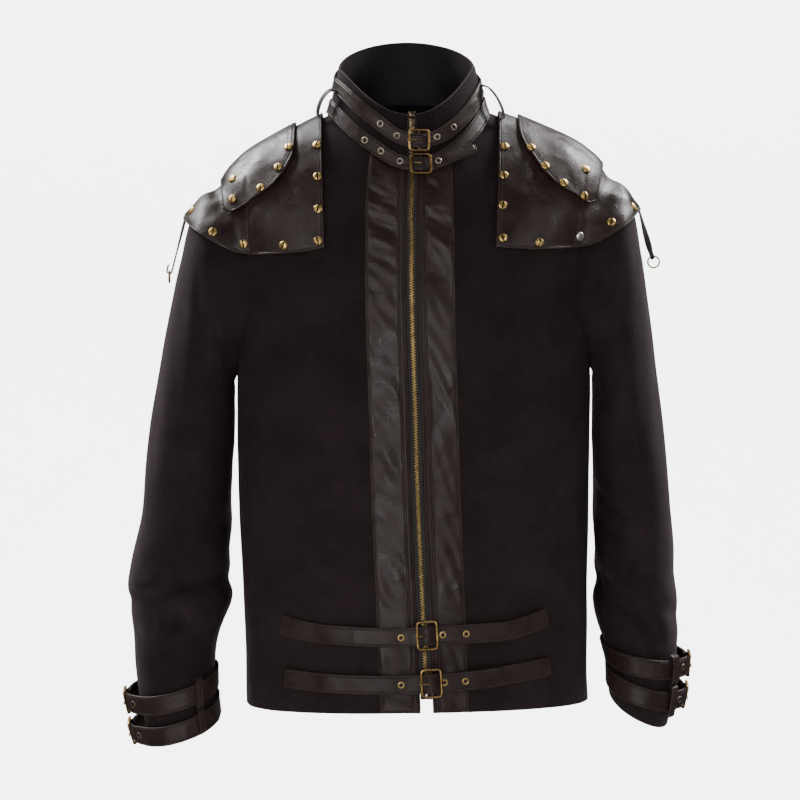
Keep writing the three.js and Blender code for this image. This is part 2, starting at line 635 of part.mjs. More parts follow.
// The smoothed lengths of the rays over a grid of u and w, w from -1 (back) to 1 (front).
function yokeLengths(arm, sign) {
  const solids = [filledTube(bodyRows.map(bodyRing), 0), filledTube(ringGrid(arm, 28, 20, 0, 12), 0)];
  const cloth = solids.map((g) => new THREE.Mesh(g, new THREE.MeshBasicMaterial({ side: THREE.DoubleSide })));
  const ray = new THREE.Raycaster();
  const first = steps(YOKE_COLUMNS).map((c) =>
    steps(2 * YOKE_ROWS).map((r) => {
      const w = 2 * r - 1;
      const hub = yokeHub(arm, sign, c * YOKE_END);
      const aim = yokeGuide(arm, sign, w < 0 ? -1 : 1, c * YOKE_END, Math.abs(w)).sub(hub);
      ray.set(hub, aim.clone().normalize());
      return Math.max(...ray.intersectObjects(cloth).map((hit) => hit.distance));
    }),
  );
  let lengths = first;
  for (let pass = 0; pass < 3; pass++)
    lengths = lengths.map((row, i) =>
      row.map((own, j) => {
        const ends = [lengths[i - 1]?.[j], lengths[i + 1]?.[j], row[j - 1], row[j + 1]];
        const mean = ends.reduce((sum, x) => sum + (x ?? own), 0) / 4;
        return Math.max(first[i][j], mix(own, mean, 0.7));
      }),
    );
  return lengths;
}

function yokeSurface(arm, sign) {
  const lengths = yokeLengths(arm, sign);
  const read = (c, r) => {
    const [i, j] = [clamp(Math.floor(c), 0, YOKE_COLUMNS - 1), clamp(Math.floor(r), 0, 2 * YOKE_ROWS - 1)];
    const low = mix(lengths[i][j], lengths[i + 1][j], c - i);
    return mix(low, mix(lengths[i][j + 1], lengths[i + 1][j + 1], c - i), r - j);
  };
  return (u, w) => {
    const hub = yokeHub(arm, sign, u);
    const aim = yokeGuide(arm, sign, w < 0 ? -1 : 1, u, Math.abs(w)).sub(hub).normalize();
    const length = read((u / YOKE_END) * YOKE_COLUMNS, (w + 1) * YOKE_ROWS);
    return hub.addScaledVector(aim, length + YOKE_LIFT + LEATHER);
  };
}

// A stud head on the outer face of a piece, near a place on it, sunk a little so that it joins the leather.
function studHead(piece, near, normal, turn) {
  const ray = new THREE.Raycaster(near.clone().addScaledVector(normal, 8), normal.clone().negate());
  const place = ray.intersectObject(new THREE.Mesh(piece))[0].point;
  const head = new THREE.CylinderGeometry(STUD_RADIUS * 0.82, STUD_RADIUS, STUD_HEIGHT + STUD_SINK, 6);
  const spin = new THREE.Quaternion().setFromUnitVectors(vec(0, 1, 0), normal);
  head.rotateY(turn);
  head.applyQuaternion(spin);
  head.translate(...place.clone().addScaledVector(normal, (STUD_HEIGHT - STUD_SINK) / 2).toArray());
  return head;
}

// Where a yoke carries a hanging strap at its tip and a collar loop at its neck end.
const yokeTips = {};
const loopEnds = {};
for (const { arm, side, sign } of ARMS) {
  const surface = yokeSurface(arm, sign);
  const outward = (u, w) => {
    const normal = normalOf(surface, clamp(u, 0.15, YOKE_END - 0.15), clamp(w, -0.97, 0.97), 0.15, 0.03);
    const hub = yokeHub(arm, sign, u);
    return normal.dot(surface(u, w).sub(hub)) < 0 ? normal.negate() : normal;
  };
  const place = (u, w) => ({ point: surface(u, w), normal: outward(u, w) });
  const tipDown = surface(YOKE_END, 0).sub(surface(YOKE_END - 0.2, 0)).normalize();
  yokeTips[arm] = surface(YOKE_END, 0).addScaledVector(outward(YOKE_END, 0), -LEATHER / 2);
  yokeTips[arm].addScaledVector(tipDown, SEAM + 0.5);
  const loopEnd = place(COLLAR_LOOP.yokeU, COLLAR_LOOP.yokeW);
  loopEnds[arm] = loopEnd.point.clone().addScaledVector(loopEnd.normal, SEAM + 1.5);
  const seen = (x, z, lift = 0) => {
    const lifted = (u, w) => surface(u, clamp(w, 0, 1)).addScaledVector(outward(u, clamp(w, 0, 1)), lift);
    const start = clamp((Math.abs(x) - 100) / 18, 0.5, YOKE_END - 1);
    return findSeen(lifted, x, z, start, clamp((10 - z) / 160, 0.2, 0.9)).map((value, i) =>
      i === 0 ? clamp(value, 0.3, YOKE_END - 0.5) : clamp(value, 0, 0.95),
    );
  };
  for (const [face, name] of [[1, "front"], [-1, "back"]]) {
    const grid = steps(10).map((c) =>
      [0.005, 0.1, 0.22, 0.36, 0.52, 0.68, 0.84, 1].map((w, i) => {
        const here = place(c * YOKE_END, face * w);
        return i === 0 ? { point: here.point, normal: outward(c * YOKE_END, 0) } : here;
      }),
    );
    const piece = wallFromGrid(grid, LEATHER);
    const heads = STUDS[arm].base.map(({ x, z }, i) => {
      const [u, w] = seen(x, z);
      return studHead(piece, surface(u, face * w), outward(u, face * w), i * 1.3);
    });
    addPiece(`yoke_${name}_${side}`, join(piece, ...heads), leather);
  }
  const rise = LEATHER + OVERLAY_GAP;
  const inner = OVERLAY[arm].map(({ x, z }) => seen(x, z, rise));
  const outer = OVERLAY_OUTER[arm].map(({ x, z }) => seen(x, z, rise));
  const edge = inner.map(([u, w], i) => ({ u, w: i === 0 ? 0 : w }));
  const overlayPlace = (q, s) => {
    const near = Math.abs(q) * (edge.length - 1);
    const far = Math.abs(q);
    const u = mix(along(edge, "u", near), mix(outer[0][0], outer[1][0], far), s);
    const w = mix(along(edge, "w", near), mix(0, outer[1][1], far), s);
    return place(u, Math.sign(q) * Math.max(w, 0));
  };
  const rows = steps(14).map((r) => 0.97 * signedPower(2 * r - 1, 1.5));
  const grid = rows.map((q) => steps(5).map((s) => overlayPlace(q, s)));
  const piece = wallFromGrid(grid, LEATHER, { lift: rise });
  const heads = STUDS[arm].overlay.flatMap(({ x, z }, i) => {
    const [u, w] = seen(x, z, rise);
    return [1, -1].map((face) => {
      const normal = outward(u, face * w);
      return studHead(piece, surface(u, face * w).addScaledVector(normal, rise), normal, i);
    });
  });
  addPiece(`overlay_${side}`, join(piece, ...heads), leather);
}

// ---------------------------------------------------------------- belts
// A belt as a band. Each station gives its two edges on the cloth, the cloth's normal, and the height of
// the belt's inner face over the cloth.
function band(stations, thickness = LEATHER) {
  return wallFromGrid(
    stations.map(({ low, high, normal, lift }) =>
      [low, high].map((p) => ({ point: p.clone().addScaledVector(normal, lift + thickness), normal })),
    ),
    thickness,
  );
}

// The two edges of a belt from two places on the cloth, with the normal square to the belt.
function beltEdges(below, above) {
  const up = above.point.clone().sub(below.point).normalize();
  const normal = below.normal.clone().add(above.normal);
  normal.addScaledVector(up, -normal.dot(up)).normalize();
  return { low: below.point, high: above.point, normal };
}

// The same path with its edges square to the way it runs, and a belt's width apart.
function squared(path, width) {
  const middleAt = (q) => path(q).low.lerp(path(q).high, 0.5);
  return (q) => {
    const { low, high, normal } = path(q);
    const travel = middleAt(Math.min(q + 0.004, 1)).sub(middleAt(Math.max(q - 0.004, 0)));
    const up = normal.clone().cross(travel).normalize();
    const reach = up.multiplyScalar((Math.sign(up.dot(high.clone().sub(low))) * width) / 2);
    const middle = low.clone().lerp(high, 0.5);
    return { low: middle.clone().sub(reach), high: middle.clone().add(reach), normal };
  };
}

// Walks a path of { low, high } edges and gives the place at any distance along its middle.
function walkPath(path, samples = 160) {
  let [total, last] = [0, null];
  const marks = steps(samples).map((q) => {
    const { low, high } = path(q);
    const middle = low.clone().lerp(high, 0.5);
    total += last ? middle.distanceTo(last) : 0;
    last = middle;
    return { q, distance: total };
  });
  const find = (d) => {
    const next = clamp(marks.findIndex((m) => m.distance >= d), 1, samples);
    const [a, b] = [marks[next - 1], marks[next]];
    return d >= total ? 1 : mix(a.q, b.q, (d - a.distance) / (b.distance - a.distance));
  };
  const distanceOf = (q) => marks[Math.round(q * samples)].distance;
  return { total, find, distanceOf };
}

// The height of the free end near a buckle, at a signed distance from the buckle's middle.
const overBuckle = (s) =>
  UNDER_BAR * smooth((s + 26) / 14) + (OVER_BAR - UNDER_BAR) * smooth(1.15 - Math.abs(s) / 8.5);

// A belt along a path, with its stations close together near the buckle. base(q) is the height of its
// inner face over the cloth where nothing else lifts it.
function beltAlong({ path, from, to, buckle, over, base, tip }) {
  const { find } = walkPath(path);
  const stops = [];
  const near = (d) => over && Math.abs(d - buckle) < 16;
  for (let d = from; d < to - 10; d += 18) if (!near(d)) stops.push(d);
  if (over) stops.push(...[-14, -11.5, -9.5, -6.5, -3.5, 0, 3.5, 6.5, 9.5, 11.5, 14].map((s) => buckle + s));
  if (tip) stops.push(to - 9);
  stops.push(to);
  return stops.sort((a, b) => a - b).map((d) => {
    const q = find(d);
    const { low, high, normal } = path(q);
    const middle = low.clone().lerp(high, 0.5);
    const narrow = tip && to - d < 1 ? 0.35 : 1;
    return {
      low: middle.clone().lerp(low, narrow),
      high: middle.clone().lerp(high, narrow),
      normal,
      lift: base(q) + (over ? overBuckle(d - buckle) : 0),
    };
  });
}

// ---------------------------------------------------------------- buckles
// A round rod between two points.
function rod(from, to, radius, sides = 5) {
  const reach = to.clone().sub(from);
  const shape = new THREE.CylinderGeometry(radius, radius, reach.length(), sides);
  shape.applyQuaternion(new THREE.Quaternion().setFromUnitVectors(vec(0, 1, 0), reach.normalize()));
  const middle = from.clone().lerp(to, 0.5);
  return shape.translate(middle.x, middle.y, middle.z);
}

function block(from, to) {
  const size = to.clone().sub(from);
  const middle = from.clone().lerp(to, 0.5);
  return new THREE.BoxGeometry(size.x, size.y, size.z).translate(middle.x, middle.y, middle.z);
}

// A plate with cut corners, in the XY plane, from low to high.
function plate(length, width, corner, low, high) {
  const [x, y] = [length / 2, width / 2];
  const shape = new THREE.Shape();
  shape.moveTo(x, -y + corner);
  for (const [px, py] of [[x, y - corner], [x - corner, y], [-x + corner, y], [-x, y - corner],
    [-x, -y + corner], [-x + corner, -y], [x - corner, -y]])
    shape.lineTo(px, py);
  const solid = new THREE.ExtrudeGeometry(shape, { depth: high - low, bevelEnabled: false });
  return solid.translate(0, 0, low);
}

// A buckle with a middle bar: X is the way the free end travels, Y lies across the belt and Z points away
// from the wearer. The free end passes under both end bars and over the middle bar.
function buckleShape(width, room) {
  const [reach, half] = [width / 2 + room / 4, BUCKLE_LENGTH / 2 - FRAME.endBar];
  const outer = toSolid(plate(BUCKLE_LENGTH, width + room, FRAME.corner, FRAME.low, FRAME.high));
  const window = toSolid(block(vec(-half, -reach, 0), vec(half, reach, 20)));
  const tunnel = toSolid(block(vec(-BUCKLE_LENGTH, -reach, 0), vec(BUCKLE_LENGTH, reach, FRAME.bars)));
  const frame = outer.subtract(window).subtract(tunnel);
  const bar = toSolid(rod(vec(0, -reach - 1, BAR.height), vec(0, reach + 1, BAR.height), BAR.radius));
  const { root, tip, height, radius } = PRONG;
  const rise = toSolid(rod(vec(0, 0, BAR.height), vec(-1.6, 0, height + 0.2), 1));
  const prong = toSolid(rod(vec(root, 0, height), vec(tip, 0, height), radius));
  return [frame, bar, rise, prong].reduce((solid, other) => solid.add(other));
}

// The place of a buckle on a path, as a matrix, and the hole its prong needs.
function buckleMatrix(path, distance, base) {
  const { find } = walkPath(path);
  const q = find(distance);
  const { low, high, normal } = path(q);
  const [before, after] = [path(find(distance - 3)), path(find(distance + 3))];
  const middle = low.clone().lerp(high, 0.5).addScaledVector(normal, base(q));
  const travel = after.low.clone().add(after.high).sub(before.low).sub(before.high);
  travel.addScaledVector(normal, -travel.dot(normal)).normalize();
  return new THREE.Matrix4().makeBasis(travel, normal.clone().cross(travel), normal).setPosition(middle);
}

// A fastened belt: its buckle, and its free end with a hole for the prong.
function fasten(name, kind, freeEnd, matrix) {
  const buckle = toGeometry(buckleShape(BELT[kind], FRAME_ROOM[kind])).applyMatrix4(matrix);
  addPiece(`buckle_${name}`, buckle, darkBrass);
  const hole = rod(vec(-BAR.radius, 0, 0), vec(-BAR.radius, 0, 12), PRONG.hole, 8).applyMatrix4(matrix);
  return cut(freeEnd, toSolid(hole));
}

// The waist belts. Their paths are seen from the front, and each edge is found on the body.
for (const name of ["upper", "lower"]) {
  const { path: line, buckle: buckleX, tip: tipX } = WAIST[name];
  const seenAt = (key, q) => along(line, key, q * (line.length - 1));
  const onSeen = (x, z) => {
    const [angle, v] = findSeen(bodyPoint, x, z, x / 160, clamp((z + 664) / 70, 0.1, 2));
    return { point: bodyPoint(angle, v), normal: normalOf(bodyPoint, angle, v, 0.01, 0.02) };
  };
  const path = squared((q) => {
    const [x, z] = [seenAt("x", q), seenAt("z", q)];
    return beltEdges(...[-1, 1].map((way) => onSeen(x, z + (way * BELT.waist) / 2)));
  }, BELT.waist);
  const walk = walkPath(path);
  const distanceAt = (x) => {
    const miss = (q) => Math.abs(seenAt("x", q) - x);
    return walk.distanceOf(steps(160).reduce((best, q) => (miss(q) < miss(best) ? q : best)));
  };
  const buckle = distanceAt(buckleX);
  const base = (q) => mix(WAIST_BASE.ends, WAIST_BASE.middle, smooth(Math.min(q, 1 - q) * 7));
  const free = beltAlong({ path, from: 0, to: distanceAt(tipX), buckle, over: true, base, tip: true });
  const held = beltAlong({ path, from: buckle - 3, to: walk.total, buckle, over: false, base, tip: false });
  const matrix = buckleMatrix(path, buckle, base);
  addPiece(`waist_belt_${name}_right`, fasten(`waist_${name}`, "waist", band(free), matrix), leather);
  addPiece(`waist_belt_${name}_left`, band(held), leather);
}

// The collar belts. Heights are measured up from the neck seam, and go on down over the body.
const NECK_STEP = { front: 25.5, back: 33.5, body: 27 };
function neckPlace(angle, height) {
  const c = Math.cos(angle);
  const rise = mix(NECK_STEP.front, NECK_STEP.back, c < 0 ? c * c : 0);
  if (height >= 0) return onCollar(angle, height / rise);
  const v = BODY_TOP + height / NECK_STEP.body;
  return { point: bodyPoint(angle, v), normal: normalOf(bodyPoint, angle, Math.min(v, 9.9), 0.01, 0.02) };
}
for (const name of ["upper", "lower"]) {
  const neckAt = (key, q) => along(NECK[name], key, q * (NECK[name].length - 1));
  const path = squared((q) => {
    const [angle, height] = [neckAt("angle", q), neckAt("height", q)];
    return beltEdges(...[-1, 1].map((way) => neckPlace(angle, height + (way * BELT.neck) / 2)));
  }, BELT.neck);
  const walk = walkPath(path);
  const turns = steps(160).filter((q) => neckAt("angle", q) < neckAt("angle", 0) + 2 * Math.PI);
  const buckle = walk.distanceOf(turns[turns.length - 1]);
  const base = (q) => mix(NECK_BASE[name], NECK_BASE.front, smooth(6 * Math.abs(q - 0.45) - 0.8));
  const stations = beltAlong({ path, from: 0, to: walk.total, buckle, over: true, base, tip: true });
  const matrix = buckleMatrix(path, buckle, base);
  addPiece(`collar_belt_${name}`, fasten(`collar_${name}`, "neck", band(stations), matrix), leather);
}

// The cuff belts start at the buckle on the outside of the arm, go round the back first, and end behind
// the buckle again, under their own free end.
for (const { arm, side } of ARMS) {
  const standOff = (angle, row) => row.standOff * Math.exp(-((Math.sin(angle / 2) / 0.3) ** 2));
  for (const row of CUFF[arm]) {
    const travel = (q) => -q * (2 * Math.PI + CUFF_LAP);
    const path = squared((q) => {
      const angle = travel(q);
      const edge = (way) => onSleeve(arm, angle, Math.min(row.at + way * row.half, SLEEVE_END - 0.01));
      return beltEdges(edge(1), edge(-1));
    }, BELT.cuff);
    const walk = walkPath(path);
    const buckle = walk.distanceOf((2 * Math.PI) / (2 * Math.PI + CUFF_LAP));
    const base = (q) => CUFF_BASE + standOff(travel(q), row);
    const stations = beltAlong({ path, from: 0, to: walk.total, buckle, over: true, base, tip: true });
    const matrix = buckleMatrix(path, buckle, base);
    const name = `cuff_${side}_${row.name}`;
    addPiece(`cuff_belt_${side}_${row.name}`, fasten(name, "cuff", band(stations), matrix), leather);
  }
  const { angle, from, to, width } = KEEPERS[arm];
  const stations = steps(14).map((r) => {
    const t = mix(from, to, r);
    const { point, normal } = onSleeve(arm, angle, t);
    const across = onSleeve(arm, angle + 0.1, t).point.sub(onSleeve(arm, angle - 0.1, t).point).normalize();
    const over = Math.max(...CUFF[arm].map((row) => smooth((row.half + 0.2 - Math.abs(t - row.at)) / 0.16)));
    const height = 0.35 + over * (4.8 + standOff(angle, CUFF[arm][0]));
    return {
      low: point.clone().addScaledVector(across, -width / 2),
      high: point.clone().addScaledVector(across, width / 2),
      normal,
      lift: height,
    };
  });
  addPiece(`cuff_keeper_${side}`, band(stations, 1.4), leather);
}

// ---------------------------------------------------------------- loops, hanging straps and rings
// A strip through points, with its width along given directions and its faces square to its path.
function strip(points, widths, directions, thickness) {
  const grid = points.map((point, i) => {
    const travel = points[Math.min(i + 1, points.length - 1)].clone().sub(points[Math.max(i - 1, 0)]);
    const normal = travel.cross(directions[i]).normalize();
    return [-0.5, 0.5].map((side) => ({
      point: point.clone().addScaledVector(directions[i], side * widths[i]),
      normal,
    }));
  });
  return wallFromGrid(grid, thickness, { lift: thickness / 2 });
}

for (const { arm, side, sign } of ARMS) {
  const { angle, height, off, bulge, drop, width } = COLLAR_LOOP;
  const { point, normal } = neckPlace(sign * angle, height);
  const start = point.clone().addScaledVector(normal, off[arm]);
  const out = start.clone().addScaledVector(normal, bulge).add(vec(0, 0, 3));
  const above = loopEnds[arm].clone().add(vec(sign * 3, 0, drop));
  const points = new THREE.CubicBezierCurve3(start, out, above, loopEnds[arm]).getPoints(8);
  const across = loopEnds[arm].clone().sub(start).cross(normal).normalize();
  const loop = strip(points, points.map(() => width), points.map(() => across), LEATHER);
  addPiece(`collar_loop_${side}`, loop, leather);
}

for (const { arm, side } of ARMS) {
  const { to, twist } = TAILS[arm];
  const [start, end] = [yokeTips[arm], vec(...to)];
  const down = end.clone().sub(start).normalize();
  const across = (turn) => {
    const flat = vec(Math.cos(turn), Math.sin(turn), 0);
    return flat.addScaledVector(down, -flat.dot(down)).normalize();
  };
  const width = across(twist[1]);
  const away = down.clone().cross(width);
  const straight = steps(8).map((r) => ({
    point: start.clone().lerp(end, r),
    direction: across(mix(twist[0], twist[1], smooth(r))),
    width: mix(TAIL.width, TAIL.foldWidth, smooth(4 * r - 3)),
  }));
  const fold = steps(6).slice(1).map((r) => {
    const point = end.clone().addScaledVector(away, TAIL.fold * (1 - Math.cos(r * Math.PI)));
    point.addScaledVector(down, TAIL.fold * Math.sin(r * Math.PI));
    return { point, direction: width, width: TAIL.foldWidth };
  });
  const back = fold[fold.length - 1].point.clone().addScaledVector(down, -7);
  const stations = [...straight, ...fold, { point: back, direction: width, width: TAIL.foldWidth }];
  const column = (key) => stations.map((station) => station[key]);
  addPiece(`tail_${side}`, strip(column("point"), column("width"), column("direction"), LEATHER), leather);

  // The ring hangs in the fold, in the plane of the fold's axis and the way down.
  const pivot = end.clone().addScaledVector(away, TAIL.fold);
  const ring = new THREE.TorusGeometry(TAIL.ring, TAIL.wire, 5, 14);
  const plumb = vec(0, 0, -1).addScaledVector(width, width.z).normalize();
  ring.applyMatrix4(new THREE.Matrix4().makeBasis(width, plumb, width.clone().cross(plumb)));
  ring.translate(...pivot.clone().addScaledVector(plumb, TAIL.ring).toArray());
  addPiece(`ring_${side}`, ring, darkBrass);
}

// ---------------------------------------------------------------- zip slider and its pull
const PIN = { height: 6.9, radius: 0.75, reach: 2.6 };
const sliderPlace = onFrontLine(0, 1.9);
const sliderOut = sliderPlace.normal.clone().setX(0).normalize();
const sliderFrame = new THREE.Matrix4()
  .makeBasis(vec(1, 0, 0), sliderOut.clone().cross(vec(1, 0, 0)), sliderOut)
  .setPosition(sliderPlace.point);
const ears = [-1, 1].map((way) => block(vec(way * 2.9 - 0.6, -1.3, 3.8), vec(way * 2.9 + 0.6, 1.3, 8)));
const pin = rod(vec(-PIN.reach, 0, PIN.height), vec(PIN.reach, 0, PIN.height), PIN.radius);
const slider = join(block(vec(-4.6, -6.5, 1.6), vec(4.6, 6.5, 4)), ...ears, pin);
addPiece("zip_slider", slider.applyMatrix4(sliderFrame), brass);

const pinPlace = vec(0, 0, PIN.height).applyMatrix4(sliderFrame);
const eye = toSolid(rod(vec(-1.7, 0, 0), vec(1.7, 0, 0), 2.2, 8));
const eyeHole = toSolid(rod(vec(-3, 0, 0), vec(3, 0, 0), 1.25, 8));
const tab = toSolid(block(vec(-3.4, -0.6, -12), vec(3.4, 0.6, -1.8)));
const pull = toGeometry(eye.add(tab).subtract(eyeHole));
addPiece("zip_pull", pull.translate(...pinPlace.toArray()), darkBrass);

export default jacket;
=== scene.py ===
"""Looks of the steampunk jacket: suede body and sleeves, studded leather yoke, belts, buckles and zip.

Every class below is one sub-assembly. Sizes are in millimetres until a mesh is made, +Z is up, -Y is the
wearer's front and +X the wearer's left. Surfaces are functions of two parameters, worked out as arrays.
"""

import logging
import math
from dataclasses import dataclass, field, replace
from enum import Enum
from typing import Callable

import bmesh
import bpy
import numpy as np
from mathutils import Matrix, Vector
from mathutils.bvhtree import BVHTree


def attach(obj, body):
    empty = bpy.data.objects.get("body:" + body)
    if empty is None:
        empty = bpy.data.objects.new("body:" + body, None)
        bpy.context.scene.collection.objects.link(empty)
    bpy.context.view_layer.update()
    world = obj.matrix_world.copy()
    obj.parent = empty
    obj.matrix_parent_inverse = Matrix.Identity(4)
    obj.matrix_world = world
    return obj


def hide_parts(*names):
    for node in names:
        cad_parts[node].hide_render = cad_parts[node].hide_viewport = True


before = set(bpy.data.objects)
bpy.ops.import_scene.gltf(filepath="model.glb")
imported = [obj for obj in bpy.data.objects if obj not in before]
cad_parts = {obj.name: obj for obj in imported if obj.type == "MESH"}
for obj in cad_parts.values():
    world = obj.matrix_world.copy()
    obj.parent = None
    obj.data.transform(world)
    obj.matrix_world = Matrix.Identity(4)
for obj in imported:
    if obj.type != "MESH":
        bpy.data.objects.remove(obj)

LOG = logging.getLogger("jacket")
Array = np.ndarray
Surface = Callable[[Array, Array], Array]
Socket = bpy.types.NodeSocket
TURN = 2 * math.pi
FAR_FROM_EDGE = 50.0


class Slot(Enum):
    """The record's material slots."""

    SUEDE = "suede"
    LEATHER = "leather"
    BRASS = "brass"
    ANTIQUE = "antique_brass"
    TAPE = "zip_tape"


class Arm(Enum):
    """The wearer's two arms, with the letter of their table columns and their side of the body."""

    RIGHT = ("right", "R", -1)
    LEFT = ("left", "L", 1)

    @property
    def side(self) -> str:
        """The word in the names of this arm's pieces."""
        return self.value[0]

    @property
    def letter(self) -> str:
        """The letter that ends this arm's columns."""
        return self.value[1]

    @property
    def sign(self) -> int:
        """+1 on the wearer's left and -1 on the right."""
        return self.value[2]


# ------------------------------------------------------------------ numbers
def smooth(x: Array) -> Array:
    """The smooth step 3x^2 - 2x^3 of x held between 0 and 1."""
    x = np.clip(x, 0, 1)
    return x * x * (3 - 2 * x)


def mix(a: Array, b: Array, t: Array) -> Array:
    """The straight blend from a at t = 0 to b at t = 1."""
    return a + (b - a) * t


def signed_power(x: Array, power: float) -> Array:
    """|x| to a power, with the sign of x."""
    return np.sign(x) * np.abs(x) ** power


def unit(v: Array) -> Array:
    """Vectors divided by their lengths."""
    return v / np.maximum(np.linalg.norm(v, axis=-1, keepdims=True), 1e-12)


def dot(a: Array, b: Array) -> Array:
    """The dot product along the last axis, which is kept."""
    return np.sum(a * b, axis=-1, keepdims=True)


def points(x: Array, y: Array, z: Array) -> Array:
    """Three arrays of coordinates stacked as points."""
    return np.stack(np.broadcast_arrays(x, y, z), axis=-1).astype(float)


def walked(place: Array, axis: int = 0) -> Array:
    """The distance walked from the first point along one axis of a row or grid of points."""
    steps = np.diff(place, axis=axis, prepend=np.take(place, [0], axis=axis))
    return np.cumsum(np.linalg.norm(steps, axis=-1), axis=axis)


def read_at(spots: Array, run: Array, vectors: Array) -> Array:
    """Vectors read at distances along a run, on straight lines between those known."""
    return np.stack([np.interp(spots, run, vectors[:, k]) for k in range(3)], axis=1)


def ripple(a: Array, b: Array, size: float, seed: int = 1) -> Array:
    """An even, repeatable unevenness between about -1 and 1: six sine waves of unlike directions, each
    with a wavelength near size in the units of a and b."""
    rng = np.random.default_rng(seed)
    total = np.zeros(np.broadcast(a, b).shape)
    for _ in range(6):
        way, phase, stretch = rng.uniform(0, TURN), rng.uniform(0, TURN), rng.uniform(0.7, 1.5)
        total += np.sin((a * math.cos(way) + b * math.sin(way)) * TURN / (size * stretch) + phase)
    return total / 3


class Table:
    """Rows of numbers with named columns, read at fractional rows on Catmull-Rom curves."""

    def __init__(self, names: str, *rows: tuple[float, ...]) -> None:
        """Stores the rows under the names, which are split at spaces."""
        self.columns = dict(zip(names.split(), np.array(rows, float).T))
        self.last = len(rows) - 1

    def at(self, name: str, v: Array) -> Array:
        """The column's value at row v: a cubic through the four nearest rows."""
        column, v = self.columns[name], np.asarray(v, float)
        i = np.clip(np.floor(v), 0, self.last - 1).astype(int)
        t = v - i
        a, b, c, d = (column[np.clip(i + k, 0, self.last)] for k in (-1, 0, 1, 2))
        bend, twist = 2 * a - 5 * b + 4 * c - d, 3 * b - a - 3 * c + d
        return 0.5 * (2 * b + (c - a) * t + bend * t * t + twist * t**3)

    def rows(self) -> list[dict[str, float]]:
        """The table's rows as dictionaries."""
        return [{k: float(c[i]) for k, c in self.columns.items()} for i in range(self.last + 1)]


def normal_of(surface: Surface, a: Array, b: Array, step_a: float, step_b: float) -> Array:
    """Unit normals of a surface: the cross product of its central differences in a and in b."""
    by_a = surface(a + step_a, b) - surface(a - step_a, b)
    by_b = surface(a, b + step_b) - surface(a, b - step_b)
    return unit(np.cross(by_a, by_b))


def find_seen(surface: Surface, x: Array, z: Array, a: Array, b: Array) -> tuple[Array, Array]:
    """The parameters of a surface where it is seen from the front at x and z, by Newton's steps.

    Args:
        surface: the surface of a and b.
        x: where it is seen, across.
        z: where it is seen, up.
        a: first guess of the first parameter.
        b: first guess of the second parameter.

    Returns:
        The two parameters.
    """
    a, b = np.array(a, float), np.array(b, float)
    for _ in range(30):
        here = surface(a, b)
        by_a = (surface(a + 1e-3, b) - here) * 1e3
        by_b = (surface(a, b + 1e-3) - here) * 1e3
        dx, dz = x - here[..., 0], z - here[..., 2]
        area = by_a[..., 0] * by_b[..., 2] - by_a[..., 2] * by_b[..., 0]
        area = np.where(area == 0, 1, area)
        a = a + np.clip((dx * by_b[..., 2] - dz * by_b[..., 0]) / area, -0.2, 0.2)
        b = b + np.clip((dz * by_a[..., 0] - dx * by_a[..., 2]) / area, -0.6, 0.6)
    return a, b


